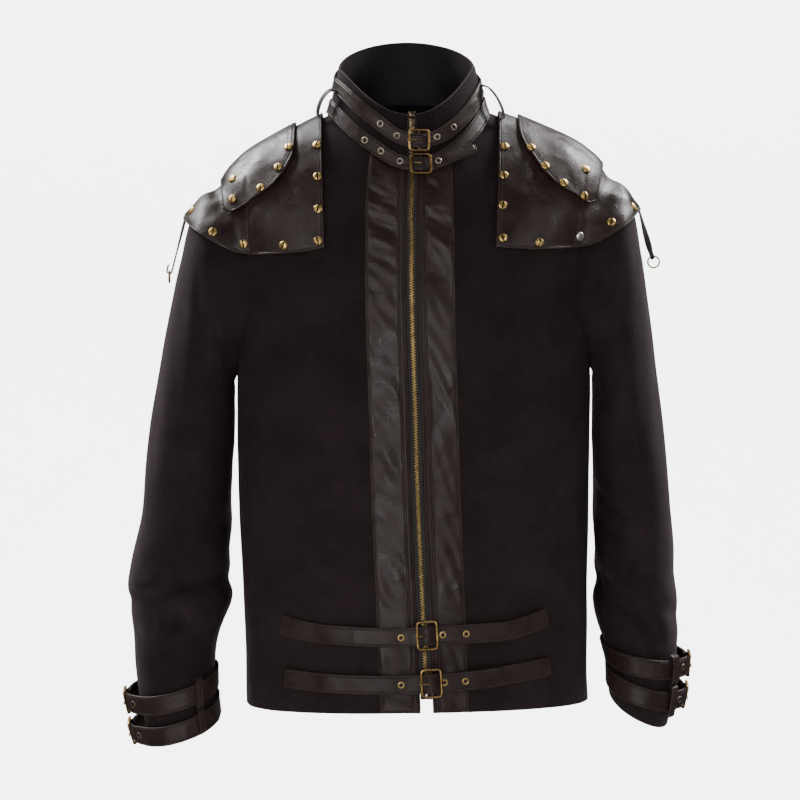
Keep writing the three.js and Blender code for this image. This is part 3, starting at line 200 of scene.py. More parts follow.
# ------------------------------------------------------------------ shapes
@dataclass
class Shape:
    """A mesh in the making: points in millimetres, faces, and values at the points."""

    points: Array
    quads: Array = field(default_factory=lambda: np.zeros((0, 4), int))
    tris: Array = field(default_factory=lambda: np.zeros((0, 3), int))
    edge: Array | None = None
    inner: Array | None = None
    cut: Array | None = None

    def filled(self) -> "Shape":
        """The same shape with every value present."""
        n = len(self.points)
        self.edge = np.full(n, FAR_FROM_EDGE) if self.edge is None else self.edge
        self.inner = np.zeros(n) if self.inner is None else self.inner
        self.cut = np.zeros((n, 2)) if self.cut is None else self.cut
        return self

    def facing_out(self) -> "Shape":
        """The same shape, turned if its volume, a sum of tetrahedra on the origin, is negative."""
        q, t = self.points[self.quads], self.points[self.tris]
        total = 0.0
        for f in (q[:, [0, 1, 2]], q[:, [0, 2, 3]], t):
            total += float(np.sum(f[:, 0] * np.cross(f[:, 1], f[:, 2])))
        if total < 0:
            self.quads, self.tris = self.quads[:, ::-1], self.tris[:, ::-1]
        return self

    def placed(self, frames: Array, places: Array) -> "Shape":
        """Copies of the shape, one for each frame of three row vectors and each place."""
        n, m = len(self.points), len(places)
        spots = np.einsum("pk,mkc->mpc", self.points, frames) + places[:, None, :]
        shift = (np.arange(m) * n)[:, None, None]
        base = self.filled()
        return Shape(
            spots.reshape(-1, 3),
            (base.quads[None] + shift).reshape(-1, 4),
            (base.tris[None] + shift).reshape(-1, 3),
            np.tile(base.edge, m),
            np.tile(base.inner, m),
            np.tile(base.cut, (m, 1)),
        )

    @staticmethod
    def joined(shapes: list["Shape"]) -> "Shape":
        """Several shapes in one mesh."""
        shapes = [s.filled() for s in shapes]
        starts = np.cumsum([0] + [len(s.points) for s in shapes])
        return Shape(
            np.concatenate([s.points for s in shapes]),
            np.concatenate([s.quads + k for s, k in zip(shapes, starts)]),
            np.concatenate([s.tris + k for s, k in zip(shapes, starts)]),
            np.concatenate([s.edge for s in shapes]),
            np.concatenate([s.inner for s in shapes]),
            np.concatenate([s.cut for s in shapes]),
        )

    def mesh(self, name: str) -> bpy.types.Mesh:
        """The shape as a Blender mesh in metres, shaded smooth, with its values as attributes."""
        self.filled()
        mesh = bpy.data.meshes.new(name)
        mesh.from_pydata(self.points * 0.001, [], self.quads.tolist() + self.tris.tolist())
        for key, values in (("edge", self.edge), ("inner", self.inner)):
            mesh.attributes.new(key, "FLOAT", "POINT").data.foreach_set("value", values.astype(np.float32))
        corners = np.empty(len(mesh.loops), int)
        mesh.loops.foreach_get("vertex_index", corners)
        uv = mesh.uv_layers.new(name="cut")
        uv.data.foreach_set("uv", (self.cut[corners] * 0.001).astype(np.float32).ravel())
        mesh.shade_smooth()
        mesh.update()
        return mesh


def grid_faces(index: Array) -> Array:
    """The quads between neighbouring entries of a two-way array of point numbers."""
    a, b, c, d = index[:-1, :-1], index[:-1, 1:], index[1:, 1:], index[1:, :-1]
    return np.stack([a, b, c, d], axis=-1).reshape(-1, 4)


def numbered(place: Array) -> Array:
    """The point numbers of a grid of points."""
    return np.arange(place[..., 0].size).reshape(place.shape[:2])


def closed(index: Array, both: bool = False) -> Array:
    """Point numbers with the first column again at the end, and the first row too where both close."""
    index = np.concatenate([index, index[:, :1]], axis=1)
    return np.concatenate([index, index[:1]]) if both else index


def packed(count: int, length: float, roll: float = 1.0) -> Array:
    """Parameters from 0 to 1, even but for four extra ones in the rolled edge at both ends."""
    near = np.array([0, 0.12, 0.4, 0.75, 1.2]) * roll / max(length, 4 * roll)
    inner = np.linspace(near[-1], 1 - near[-1], max(count, 2))
    return np.concatenate([near[:-1], inner, 1 - near[-2::-1]])


def shell(
    place: Array,
    normal: Array,
    wall: float,
    lift: float = 0.0,
    rolls: tuple[float, float, float, float] = (0, 0, 0, 0),
) -> Shape:
    """A closed wall on a grid. Its outer face is lift above the grid, less a quarter round of the roll's
    radius at each edge, r(1 - sqrt(1 - (1 - d/r)^2)) at d from it, and its inner face is wall below.

    Args:
        place: the grid's points, rows by columns.
        normal: their normals.
        wall: the thickness.
        lift: height of the outer face over the grid.
        rolls: roll radii at the first row, last row, first column and last column.

    Returns:
        The wall, with edge as the distance to the nearest rolled edge and inner as 1 on the inner face.
    """
    across, along = walked(place, 1), walked(place, 0)
    gaps = [along, along[-1:] - along, across, across[:, -1:] - across]
    drop, edge = np.zeros_like(across), np.full_like(across, FAR_FROM_EDGE)
    for gap, roll in zip(gaps, rolls):
        if roll > 0:
            drop = drop + roll * (1 - np.sqrt(1 - (1 - np.clip(gap / roll, 0, 1)) ** 2))
            edge = np.minimum(edge, gap)
    drop = np.minimum(drop, wall * 0.8)[..., None]
    outer = place + normal * (lift - drop)
    inner = place + normal * (lift - wall)
    index = numbered(place)
    count = index.size
    faces = [grid_faces(index), grid_faces(index)[:, ::-1] + count]
    sides = ((index[0], 1), (index[-1], -1), (index[:, 0], -1), (index[:, -1], 1))
    faces += [grid_faces(np.stack([line, line + count]))[:, ::way] for line, way in sides]
    spread = np.stack([across, along], axis=-1).reshape(-1, 2)
    return Shape(
        np.concatenate([outer.reshape(-1, 3), inner.reshape(-1, 3)]),
        np.concatenate(faces),
        edge=np.tile(edge.ravel(), 2),
        inner=np.repeat([0.0, 1.0], count),
        cut=np.tile(spread, (2, 1)),
    ).facing_out()


def filled_tube(place: Array) -> Shape:
    """A solid inside rings of points, rows by columns round, each end closed by a fan to its middle."""
    index = closed(numbered(place))
    count, columns = place[..., 0].size, place.shape[1]
    tris = []
    for row, hub, way in ((0, count, -1), (-1, count + 1, 1)):
        tris.append(np.stack([np.full(columns, hub), index[row, :-1], index[row, 1:]], axis=1)[:, ::way])
    spots = np.concatenate([place.reshape(-1, 3), place[:1].mean(axis=1), place[-1:].mean(axis=1)])
    return Shape(spots, grid_faces(index), np.concatenate(tris)).facing_out()


def tube(
    path: Array, radius: Array, sides: int = 10, flat: Array | float = 1.0, up: Array | None = None
) -> Shape:
    """A closed round or flattened bar along a path. Each ring lies square to the path: radius along a
    side vector and radius times flat along the other.

    Args:
        path: the middle line's points.
        radius: the ring's half width at each point, or one for all.
        sides: points round.
        flat: the ring's height over its width.
        up: the direction across which it is flat, at each point or one for all.

    Returns:
        The bar.
    """
    travel = unit(np.gradient(path, axis=0))
    up = np.array([0.0, 0.0, 1.0]) if up is None else up
    side = unit(np.cross(travel, np.broadcast_to(up, path.shape)))
    rise = np.cross(side, travel)
    angle = np.linspace(0, TURN, sides, endpoint=False)[None, :, None]
    radius = np.broadcast_to(np.asarray(radius, float), len(path))[:, None, None]
    flat = np.broadcast_to(np.asarray(flat, float), len(path))[:, None, None]
    ring = side[:, None] * np.cos(angle) * radius + rise[:, None] * np.sin(angle) * radius * flat
    return filled_tube(path[:, None] + ring)


def hoop(path: Array, inward: Array, half: Array, low: Array, high: Array, sides: int = 12) -> Shape:
    """A closed ring along a closed path: a squarish section, a superellipse of exponent 3, that reaches
    half to both sides along inward, and from low to high along Z."""
    angle = np.linspace(0, TURN, sides, endpoint=False)
    c, s = signed_power(np.cos(angle), 2 / 3), signed_power(np.sin(angle), 2 / 3)
    middle, reach = (np.asarray(high) + low) / 2, (np.asarray(high) - low) / 2
    place = path[:, None] + inward[:, None] * (c[None, :] * np.asarray(half)[..., None])[..., None]
    place[..., 2] += middle[:, None] + reach[:, None] * s[None, :]
    return Shape(place.reshape(-1, 3), grid_faces(closed(numbered(place), True))).facing_out()


def lathe(radius: Array, height: Array, sectors: int = 20) -> Shape:
    """A closed profile turned about Z.

    Args:
        radius: each profile point's distance from Z; the last point is joined to the first.
        height: its height.
        sectors: how many copies of the profile go round.

    Returns:
        The turned shape.
    """
    angle = np.linspace(0, TURN, sectors, endpoint=False)[:, None]
    place = points(radius * np.cos(angle), radius * np.sin(angle), height)
    return Shape(place.reshape(-1, 3), grid_faces(closed(numbered(place), True))).facing_out()


def stitch_row(path: Array, normal: Array, pitch: float, length: float, width: float = 0.32) -> Shape:
    """A row of thread stitches along a path, one every pitch: each a small spindle half sunk in the face.

    Args:
        path: points on the face, in order.
        normal: the face's normals there.
        pitch: from one stitch to the next.
        length: of one stitch.
        width: half the thread's thickness.

    Returns:
        The stitches.
    """
    run = walked(path)
    spots = np.arange(pitch / 2, run[-1], pitch)
    travel = unit(read_at(spots + 0.5, run, path) - read_at(spots - 0.5, run, path))
    side = unit(np.cross(read_at(spots, run, normal), travel))
    out = unit(np.cross(travel, side))
    x = np.array([[-0.5], [0], [0.5]]) * length
    size = np.array([[0.4], [1], [0.4]]) * width
    lift = np.array([[-0.12], [0.2], [-0.12]])
    spindle = points(x, size * np.array([1, 0, -1, 0]), lift + size * np.array([0, 1, 0, -1]))
    return filled_tube(spindle).placed(np.stack([travel, side, out], axis=1), read_at(spots, run, path))


# ------------------------------------------------------------------ finishes
class Nodes:
    """Adds and joins shader nodes in one tree."""

    def __init__(self, tree: bpy.types.NodeTree) -> None:
        """Keeps the tree."""
        self.tree = tree

    def add(self, kind: str, values: dict | None = None, **settings: object) -> bpy.types.Node:
        """Adds a node.

        Args:
            kind: the node's type name, less its ShaderNode.
            values: for its inputs, a number, colour or the output that feeds it.
            settings: its own properties.

        Returns:
            The node.
        """
        node = self.tree.nodes.new("ShaderNode" + kind)
        for key, value in settings.items():
            setattr(node, key, value)
        self.feed(node, values or {})
        return node

    def feed(self, node: bpy.types.Node, values: dict) -> None:
        """Sets a node's inputs to numbers or colours, or joins them to the outputs that feed them."""
        for key, value in values.items():
            if isinstance(value, Socket):
                self.tree.links.new(value, node.inputs[key])
            else:
                node.inputs[key].default_value = value

    def noise(
        self, vector: Socket, scale: object, detail: float, rough: float = 0.5, twist: float = 0
    ) -> Socket:
        """A noise between 0 and 1, its scale in features to a metre."""
        values = {"Vector": vector, "Scale": scale, "Detail": detail, "Roughness": rough, "Distortion": twist}
        return self.add("TexNoise", values).outputs[0]

    def value(self, name: str) -> Socket:
        """A value that the mesh holds at its points."""
        return self.add("Attribute", attribute_name=name).outputs["Fac"]

    def sums(self, kind: str, a: object, b: object) -> Socket:
        """One step of arithmetic."""
        return self.add("Math", {0: a, 1: b}, operation=kind).outputs[0]

    def shares(self, a: Socket, b: Socket, part: float) -> Socket:
        """A part of a and the rest of b, added up."""
        return self.sums("ADD", self.sums("MULTIPLY", a, part), self.sums("MULTIPLY", b, 1 - part))

    def spread(self, value: Socket, low: float, high: float, to_low: float = 0, to_high: float = 1) -> Socket:
        """A value taken from one range to another, smoothly, and held inside it."""
        values = {"Value": value, "From Min": low, "From Max": high, "To Min": to_low, "To Max": to_high}
        return self.add("MapRange", values, interpolation_type="SMOOTHSTEP").outputs[0]

    def blend(self, share: object, a: object, b: object) -> Socket:
        """A mix of two colours."""
        return self.add("Mix", {0: share, 6: a, 7: b}, data_type="RGBA").outputs[2]


class Groups:
    """The node groups that several finishes share, each made once."""

    made: dict[str, bpy.types.NodeTree] = {}

    @classmethod
    def tree(cls, name: str, inputs: dict[str, float], outputs: list[str]) -> tuple:
        """An empty group.

        Args:
            name: the group's name.
            inputs: its number inputs after a Vector, with their values.
            outputs: the names of its number outputs.

        Returns:
            The group, its node helper, and its input and output nodes.
        """
        tree = bpy.data.node_groups.new(name, "ShaderNodeTree")
        tree.interface.new_socket("Vector", in_out="INPUT", socket_type="NodeSocketVector")
        for key, value in inputs.items():
            socket = tree.interface.new_socket(key, in_out="INPUT", socket_type="NodeSocketFloat")
            socket.default_value = value
        for key in outputs:
            tree.interface.new_socket(key, in_out="OUTPUT", socket_type="NodeSocketFloat")
        return tree, Nodes(tree), tree.nodes.new("NodeGroupInput"), tree.nodes.new("NodeGroupOutput")

    @classmethod
    def patches(cls) -> bpy.types.NodeTree:
        """Soft uneven patches: two noises, one four times finer, as a mask from 0 to 1."""
        if "patches" not in cls.made:
            tree, nodes, source, sink = cls.tree("soft_patches", {"Scale": 20.0}, ["Mask"])
            vector, scale = source.outputs[:2]
            coarse = nodes.noise(vector, scale, 4)
            fine = nodes.noise(vector, nodes.sums("MULTIPLY", scale, 4.3), 3)
            nodes.feed(sink, {0: nodes.spread(nodes.shares(coarse, fine, 0.7), 0.36, 0.64)})
            cls.made["patches"] = tree
        return cls.made["patches"]

    @classmethod
    def stitched(cls) -> bpy.types.NodeTree:
        """A sewn edge, from the distance to it: a groove under the thread, used as bump and as a painted
        shade, and wear on the edge itself.
        """
        if "stitched" not in cls.made:
            tree, nodes, source, sink = cls.tree("sewn_edge", {"Inset": 2.4}, ["Groove", "Wear"])
            edge = nodes.value("edge")
            off = nodes.sums("ABSOLUTE", nodes.sums("SUBTRACT", edge, source.outputs[1]), 0.0)
            speck = nodes.spread(nodes.noise(source.outputs[0], 260, 4), 0.42, 0.62)
            wear = nodes.sums("MULTIPLY", nodes.spread(edge, 0.1, 1.1, 1, 0), speck)
            nodes.feed(sink, {0: nodes.spread(off, 0.0, 0.9, 1, 0), 1: wear})
            cls.made["stitched"] = tree
        return cls.made["stitched"]


@dataclass(frozen=True)
class Finish:
    """What every finish shares: a name, a slot and a material with one Principled shader."""

    name: str
    slot: Slot | None

    def start(self) -> tuple[bpy.types.Material, Nodes, bpy.types.Node, Socket]:
        """A new material, its node helper, its shader and the object's coordinates."""
        material = bpy.data.materials.new(self.name)
        material.use_nodes = True
        nodes = Nodes(material.node_tree)
        shader = material.node_tree.nodes["Principled BSDF"]
        return material, nodes, shader, nodes.add("TexCoord").outputs["Object"]

    def patches(self, nodes: Nodes, vector: Socket, size: float) -> Socket:
        """The mask of soft patches of a size in metres."""
        group = nodes.add("Group", node_tree=Groups.patches())
        nodes.feed(group, {0: vector, 1: 1 / size})
        return group.outputs[0]

    def bump(self, nodes: Nodes, shader: bpy.types.Node, layers: list[tuple[Socket, float]]) -> None:
        """Bump of several heights, each with its depth in metres, one after the other.

        Args:
            nodes: the material's node helper.
            shader: gets the normals.
            layers: pairs of a height and its depth.
        """
        last = {}
        for height, depth in layers:
            node = nodes.add("Bump", {"Height": height, "Strength": 1.0, "Distance": depth, **last})
            last = {"Normal": node.outputs[0]}
        nodes.feed(shader, last)

    def material(self) -> bpy.types.Material:
        """The finished material."""
        raise NotImplementedError


@dataclass(frozen=True)
class Suede(Finish):
    """Brushed suede with a short uneven nap, and a smooth lining on its inner face."""

    dark: tuple[float, ...] = (0.0070, 0.0040, 0.0044, 1)
    light: tuple[float, ...] = (0.0150, 0.0090, 0.0096, 1)
    lining: tuple[float, ...] = (0.0060, 0.0046, 0.0046, 1)
    fibre: float = 0.0007
    clump: float = 0.0032

    def material(self) -> bpy.types.Material:
        """Nap tone by soft patches and fibres, a matt sheen, and fibre bump."""
        material, nodes, shader, vector = self.start()
        brushed = self.patches(nodes, vector, 0.05)
        fibre = nodes.noise(vector, 1 / self.fibre, 4, 0.65)
        clump = nodes.noise(vector, 1 / self.clump, 3, 0.6)
        colour = nodes.blend(nodes.shares(brushed, clump, 0.55), self.dark, self.light)
        inner = nodes.value("inner")
        nodes.feed(shader, {
            "Base Color": nodes.blend(inner, colour, self.lining),
            "Roughness": nodes.spread(inner, 0.4, 0.9, 0.92, 0.5),
            "Specular IOR Level": 0.12,
            "Sheen Weight": 0.07,
            "Sheen Roughness": 0.45,
            "Sheen Tint": (0.40, 0.27, 0.27, 1),
        })
        self.bump(nodes, shader, [(clump, 0.0004), (fibre, 0.0003)])
        return material


@dataclass(frozen=True)
class Leather(Finish):
    """Soft coated leather: a fine pebble grain, shallow creases, and a satin coat that is worn at edges."""

    dark: tuple[float, ...] = (0.0105, 0.0052, 0.0044, 1)
    light: tuple[float, ...] = (0.0215, 0.0108, 0.0090, 1)
    worn: tuple[float, ...] = (0.060, 0.038, 0.032, 1)
    grain: float = 0.0011
    gloss: float = 0.36

    def material(self) -> bpy.types.Material:
        """Colour and gloss by patches and pebbles, a painted shade in the stitch groove, and grain, crease
        and stitch-groove bump.
        """
        material, nodes, shader, vector = self.start()
        patch = self.patches(nodes, vector, 0.03)
        cells = {"Vector": vector, "Scale": 1 / self.grain, "Smoothness": 0.6}
        cell = nodes.add("TexVoronoi", cells, feature="SMOOTH_F1")
        pebble = nodes.spread(cell.outputs["Distance"], 0.15, 0.75, 1, 0)
        crease = nodes.noise(vector, 48, 3.5, twist=0.5)
        fold = nodes.noise(vector, 15, 2, twist=0.3)
        seam = nodes.add("Group", node_tree=Groups.stitched())
        nodes.feed(seam, {0: vector})
        colour = nodes.blend(nodes.shares(patch, pebble, 0.6), self.dark, self.light)
        wear = nodes.sums("MULTIPLY", seam.outputs["Wear"], 0.45)
        colour = nodes.blend(wear, colour, self.worn)
        # painted shade: the colour darkens halfway to dark in the stitch groove
        colour = nodes.blend(nodes.sums("MULTIPLY", seam.outputs["Groove"], 0.5), colour, self.dark)
        rough = nodes.spread(patch, 0, 1, self.gloss, self.gloss + 0.13)
        nodes.feed(shader, {"Base Color": colour, "Roughness": rough, "Specular IOR Level": 0.27})
        groove = nodes.sums("SUBTRACT", 1.0, seam.outputs["Groove"])
        self.bump(nodes, shader, [(fold, 0.0055), (crease, 0.0007), (groove, 0.0005), (pebble, 0.00011)])
        return material


@dataclass(frozen=True)
class Metal(Finish):
    """Brass, from bright to darkened: tarnish in soft patches, fine scratches, and a painted shade in
    recesses such as stud slots and eyelet bores.
    """

    bright: tuple[float, ...] = (0.66, 0.46, 0.17, 1)
    tarnish: tuple[float, ...] = (0.36, 0.23, 0.08, 1)
    # painted shade for recesses such as stud slots and eyelet bores
    recess: tuple[float, ...] = (0.02, 0.012, 0.006, 1)
    rough: float = 0.27
    patch: float = 0.006

    def material(self) -> bpy.types.Material:
        """Colour and roughness by tarnish, a painted shade where inner marks a recess, and a fine scratched
        bump.
        """
        material, nodes, shader, vector = self.start()
        mask = self.patches(nodes, vector, self.patch)
        colour = nodes.blend(mask, self.tarnish, self.bright)
        # painted shade: the near-black recess colour where inner is 1
        colour = nodes.blend(nodes.value("inner"), colour, self.recess)
        rough = nodes.spread(mask, 0, 1, self.rough + 0.2, self.rough)
        nodes.feed(shader, {"Base Color": colour, "Roughness": rough, "Metallic": 1.0})
        self.bump(nodes, shader, [(nodes.noise(vector, 1 / 0.0006, 4, 0.6), 0.00004)])
        return material


@dataclass(frozen=True)
class Woven(Finish):
    """Woven cotton, for the zip's tapes and for sewing thread: fine ribs across a plain colour."""

    dark: tuple[float, ...] = (0.006, 0.0048, 0.0042, 1)
    light: tuple[float, ...] = (0.014, 0.011, 0.0095, 1)
    rib: float = 0.0007

    def material(self) -> bpy.types.Material:
        """Ribs from two crossed bands of waves, as colour and bump."""
        material, nodes, shader, vector = self.start()
        ribs = {"Vector": vector, "Scale": 1 / self.rib / 20, "Distortion": 0.6}
        bands = [nodes.add("TexWave", ribs, bands_direction=way).outputs[0] for way in ("X", "Z")]
        weave = nodes.sums("MULTIPLY", bands[0], bands[1])
        colour = nodes.blend(weave, self.dark, self.light)
        nodes.feed(shader, {"Base Color": colour, "Roughness": 0.85, "Sheen Weight": 0.15})
        self.bump(nodes, shader, [(weave, 0.00015)])
        return material


@dataclass(frozen=True)
class Plain(Finish):
    """A plain pale surface for the studio, faintly uneven."""

    colour: tuple[float, ...] = (0.92, 0.92, 0.92, 1)

    def material(self) -> bpy.types.Material:
        """A matt colour with a trace of patches."""
        material, nodes, shader, vector = self.start()
        pale = tuple(0.985 * c for c in self.colour[:3]) + (1,)
        colour = nodes.blend(self.patches(nodes, vector, 0.5), pale, self.colour)
        nodes.feed(shader, {"Base Color": colour, "Roughness": 0.9})
        return material


SUEDE = Suede("brown_suede", Slot.SUEDE)
YOKE_LEATHER = Leather("yoke_leather", Slot.LEATHER, gloss=0.29)
STRAP_LEATHER = Leather("strap_leather", Slot.LEATHER, gloss=0.32, grain=0.0009)
PLACKET_LEATHER = Leather("placket_leather", Slot.LEATHER, gloss=0.31)
BRASS = Metal("bright_brass", Slot.BRASS)
ANTIQUE = Metal(
    "antique_brass", Slot.ANTIQUE, (0.40, 0.26, 0.105, 1), (0.13, 0.074, 0.031, 1), rough=0.3, patch=0.009
)
DARK_BRASS = Metal("dark_eyelet_brass", Slot.BRASS, (0.44, 0.37, 0.28, 1), (0.17, 0.13, 0.095, 1))
BLACK_BRASS = Metal(
    "blackened_brass", Slot.BRASS, (0.13, 0.092, 0.055, 1), (0.035, 0.025, 0.018, 1), rough=0.3, patch=0.004
)
NICKEL = Metal("pale_stud", Slot.BRASS, (0.75, 0.73, 0.68, 1), (0.5, 0.47, 0.4, 1), rough=0.24)
TAPE = Woven("zip_tape_weave", Slot.TAPE)
THREAD = Woven("brown_thread", Slot.LEATHER, (0.026, 0.018, 0.016, 1), (0.072, 0.052, 0.045, 1), rib=0.0004)


def linked(name: str, data: bpy.types.ID) -> bpy.types.Object:
    """A new object in the scene."""
    obj = bpy.data.objects.new(name, data)
    bpy.context.scene.collection.objects.link(obj)
    return obj


class Workshop:
    """Turns shapes into finished objects, and makes each material once."""

    materials: dict[str, bpy.types.Material] = {}

    @classmethod
    def material(cls, finish: Finish) -> bpy.types.Material:
        """The material of a finish."""
        if finish.name not in cls.materials:
            cls.materials[finish.name] = finish.material()
        return cls.materials[finish.name]

    @classmethod
    def piece(
        cls,
        name: str,
        shape: Shape,
        finish: Finish,
        stands_for: str = "",
        body: str = "jacket",
        cutters: list[Shape] | None = None,
        crisp: float = 42.0,
    ) -> bpy.types.Object:
        """Makes an object of a shape.

        Args:
            name: the piece's name.
            shape: its mesh, in millimetres.
            finish: its look, with the record's slot.
            stands_for: the solid that it replaces.
            body: the body that it rides on.
            cutters: closed shapes that are taken out of it.
            crisp: the angle in degrees past which an edge stays sharp.

        Returns:
            The object.
        """
        obj = linked(name, shape.mesh(name))
        if cutters:
            cls.carve(obj, cutters)
        obj.data.materials.clear()
        obj.data.materials.append(cls.material(finish))
        obj.data.shade_smooth()
        obj.data.set_sharp_from_angle(angle=math.radians(crisp))
        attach(obj, body)
        if stands_for:
            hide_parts(stands_for)
        LOG.info("%s: %d faces", name, len(obj.data.polygons))
        return obj

    @classmethod
    def carve(cls, obj: bpy.types.Object, cutters: list[Shape]) -> None:
        """Takes closed shapes out of an object, and keeps its largest part."""
        tools = []
        for k, cutter in enumerate(cutters):
            tool = linked(f"tool_{k}", cutter.mesh(f"tool_{k}"))
            modifier = obj.modifiers.new(f"carve_{k}", "BOOLEAN")
            modifier.operation, modifier.object, modifier.solver = "DIFFERENCE", tool, "MANIFOLD"
            tools.append(tool)
        made = obj.evaluated_get(bpy.context.evaluated_depsgraph_get())
        mesh = bpy.data.meshes.new_from_object(made)
        obj.modifiers.clear()
        for tool in tools:
            old = tool.data
            bpy.data.objects.remove(tool)
            bpy.data.meshes.remove(old)
        old, obj.data = obj.data, mesh
        bpy.data.meshes.remove(old)
        mesh.name = obj.name
        cls.keep_largest(mesh)

    @staticmethod
    def keep_largest(mesh: bpy.types.Mesh) -> None:
        """Removes all but the largest connected part: every point takes the lowest number among its
        neighbours until nothing changes."""
        ends = np.empty(len(mesh.edges) * 2, int)
        mesh.edges.foreach_get("vertices", ends)
        a, b = ends.reshape(-1, 2).T
        label = np.arange(len(mesh.vertices))
        for _ in range(2000):
            low = np.minimum(label[a], label[b])
            new = label.copy()
            np.minimum.at(new, a, low)
            np.minimum.at(new, b, low)
            new = new[new]
            if np.array_equal(new, label):
                break
            label = new
        names, counts = np.unique(label, return_counts=True)
        if len(names) < 2:
            return
        keep = label == names[np.argmax(counts)]
        work = bmesh.new()
        work.from_mesh(mesh)
        work.verts.ensure_lookup_table()
        bmesh.ops.delete(work, geom=[work.verts[i] for i in np.flatnonzero(~keep)], context="VERTS")
        work.to_mesh(mesh)
        work.free()


def cloth(obj: bpy.types.Object, width: float, length: float, held: str, *rests_on: str) -> None:
    """Logs the size of the cloth that a panel is cut from, and the panel's area, half of its two faces'.

    Args:
        obj: the panel.
        width: of the cloth that it is cut from, in metres.
        length: of that cloth.
        held: not used.
        rests_on: not used.
    """
    mesh = obj.data
    areas = np.empty(len(mesh.polygons))
    mesh.polygons.foreach_get("area", areas)
    area = float(areas.sum()) / 2
    LOG.info("%s: cut %.3f by %.3f m, %.4f m2", obj.name, width, length, area)


# ------------------------------------------------------------------ the body's form
@dataclass(frozen=True)
class Folds:
    """Soft troughs and ridges on a surface of two parameters, in millimetres."""

    rows: Table
    scale_a: float
    scale_b: float

    def depth(self, a: Array, b: Array) -> Array:
        """The sum of the folds: depth times exp(-(distance aside / width)^2) times exp(-1.6 (distance
        along / half length)^2). run_a and run_b give half the length along both parameters."""
        total = np.zeros(np.broadcast(a, b).shape)
        for row in self.rows.rows():
            gap = (a - row["a"] + math.pi) % TURN - math.pi
            x, y = gap * self.scale_a, (b - row["b"]) * self.scale_b
            rx, ry = row["run_a"] * self.scale_a, row["run_b"] * self.scale_b
            length = math.hypot(rx, ry)
            share = (x * rx + y * ry) / length**2
            aside = np.abs(x * ry - y * rx) / length
            total = total + row["depth"] * np.exp(-((aside / row["width"]) ** 2) - 1.6 * share**2)
        return total


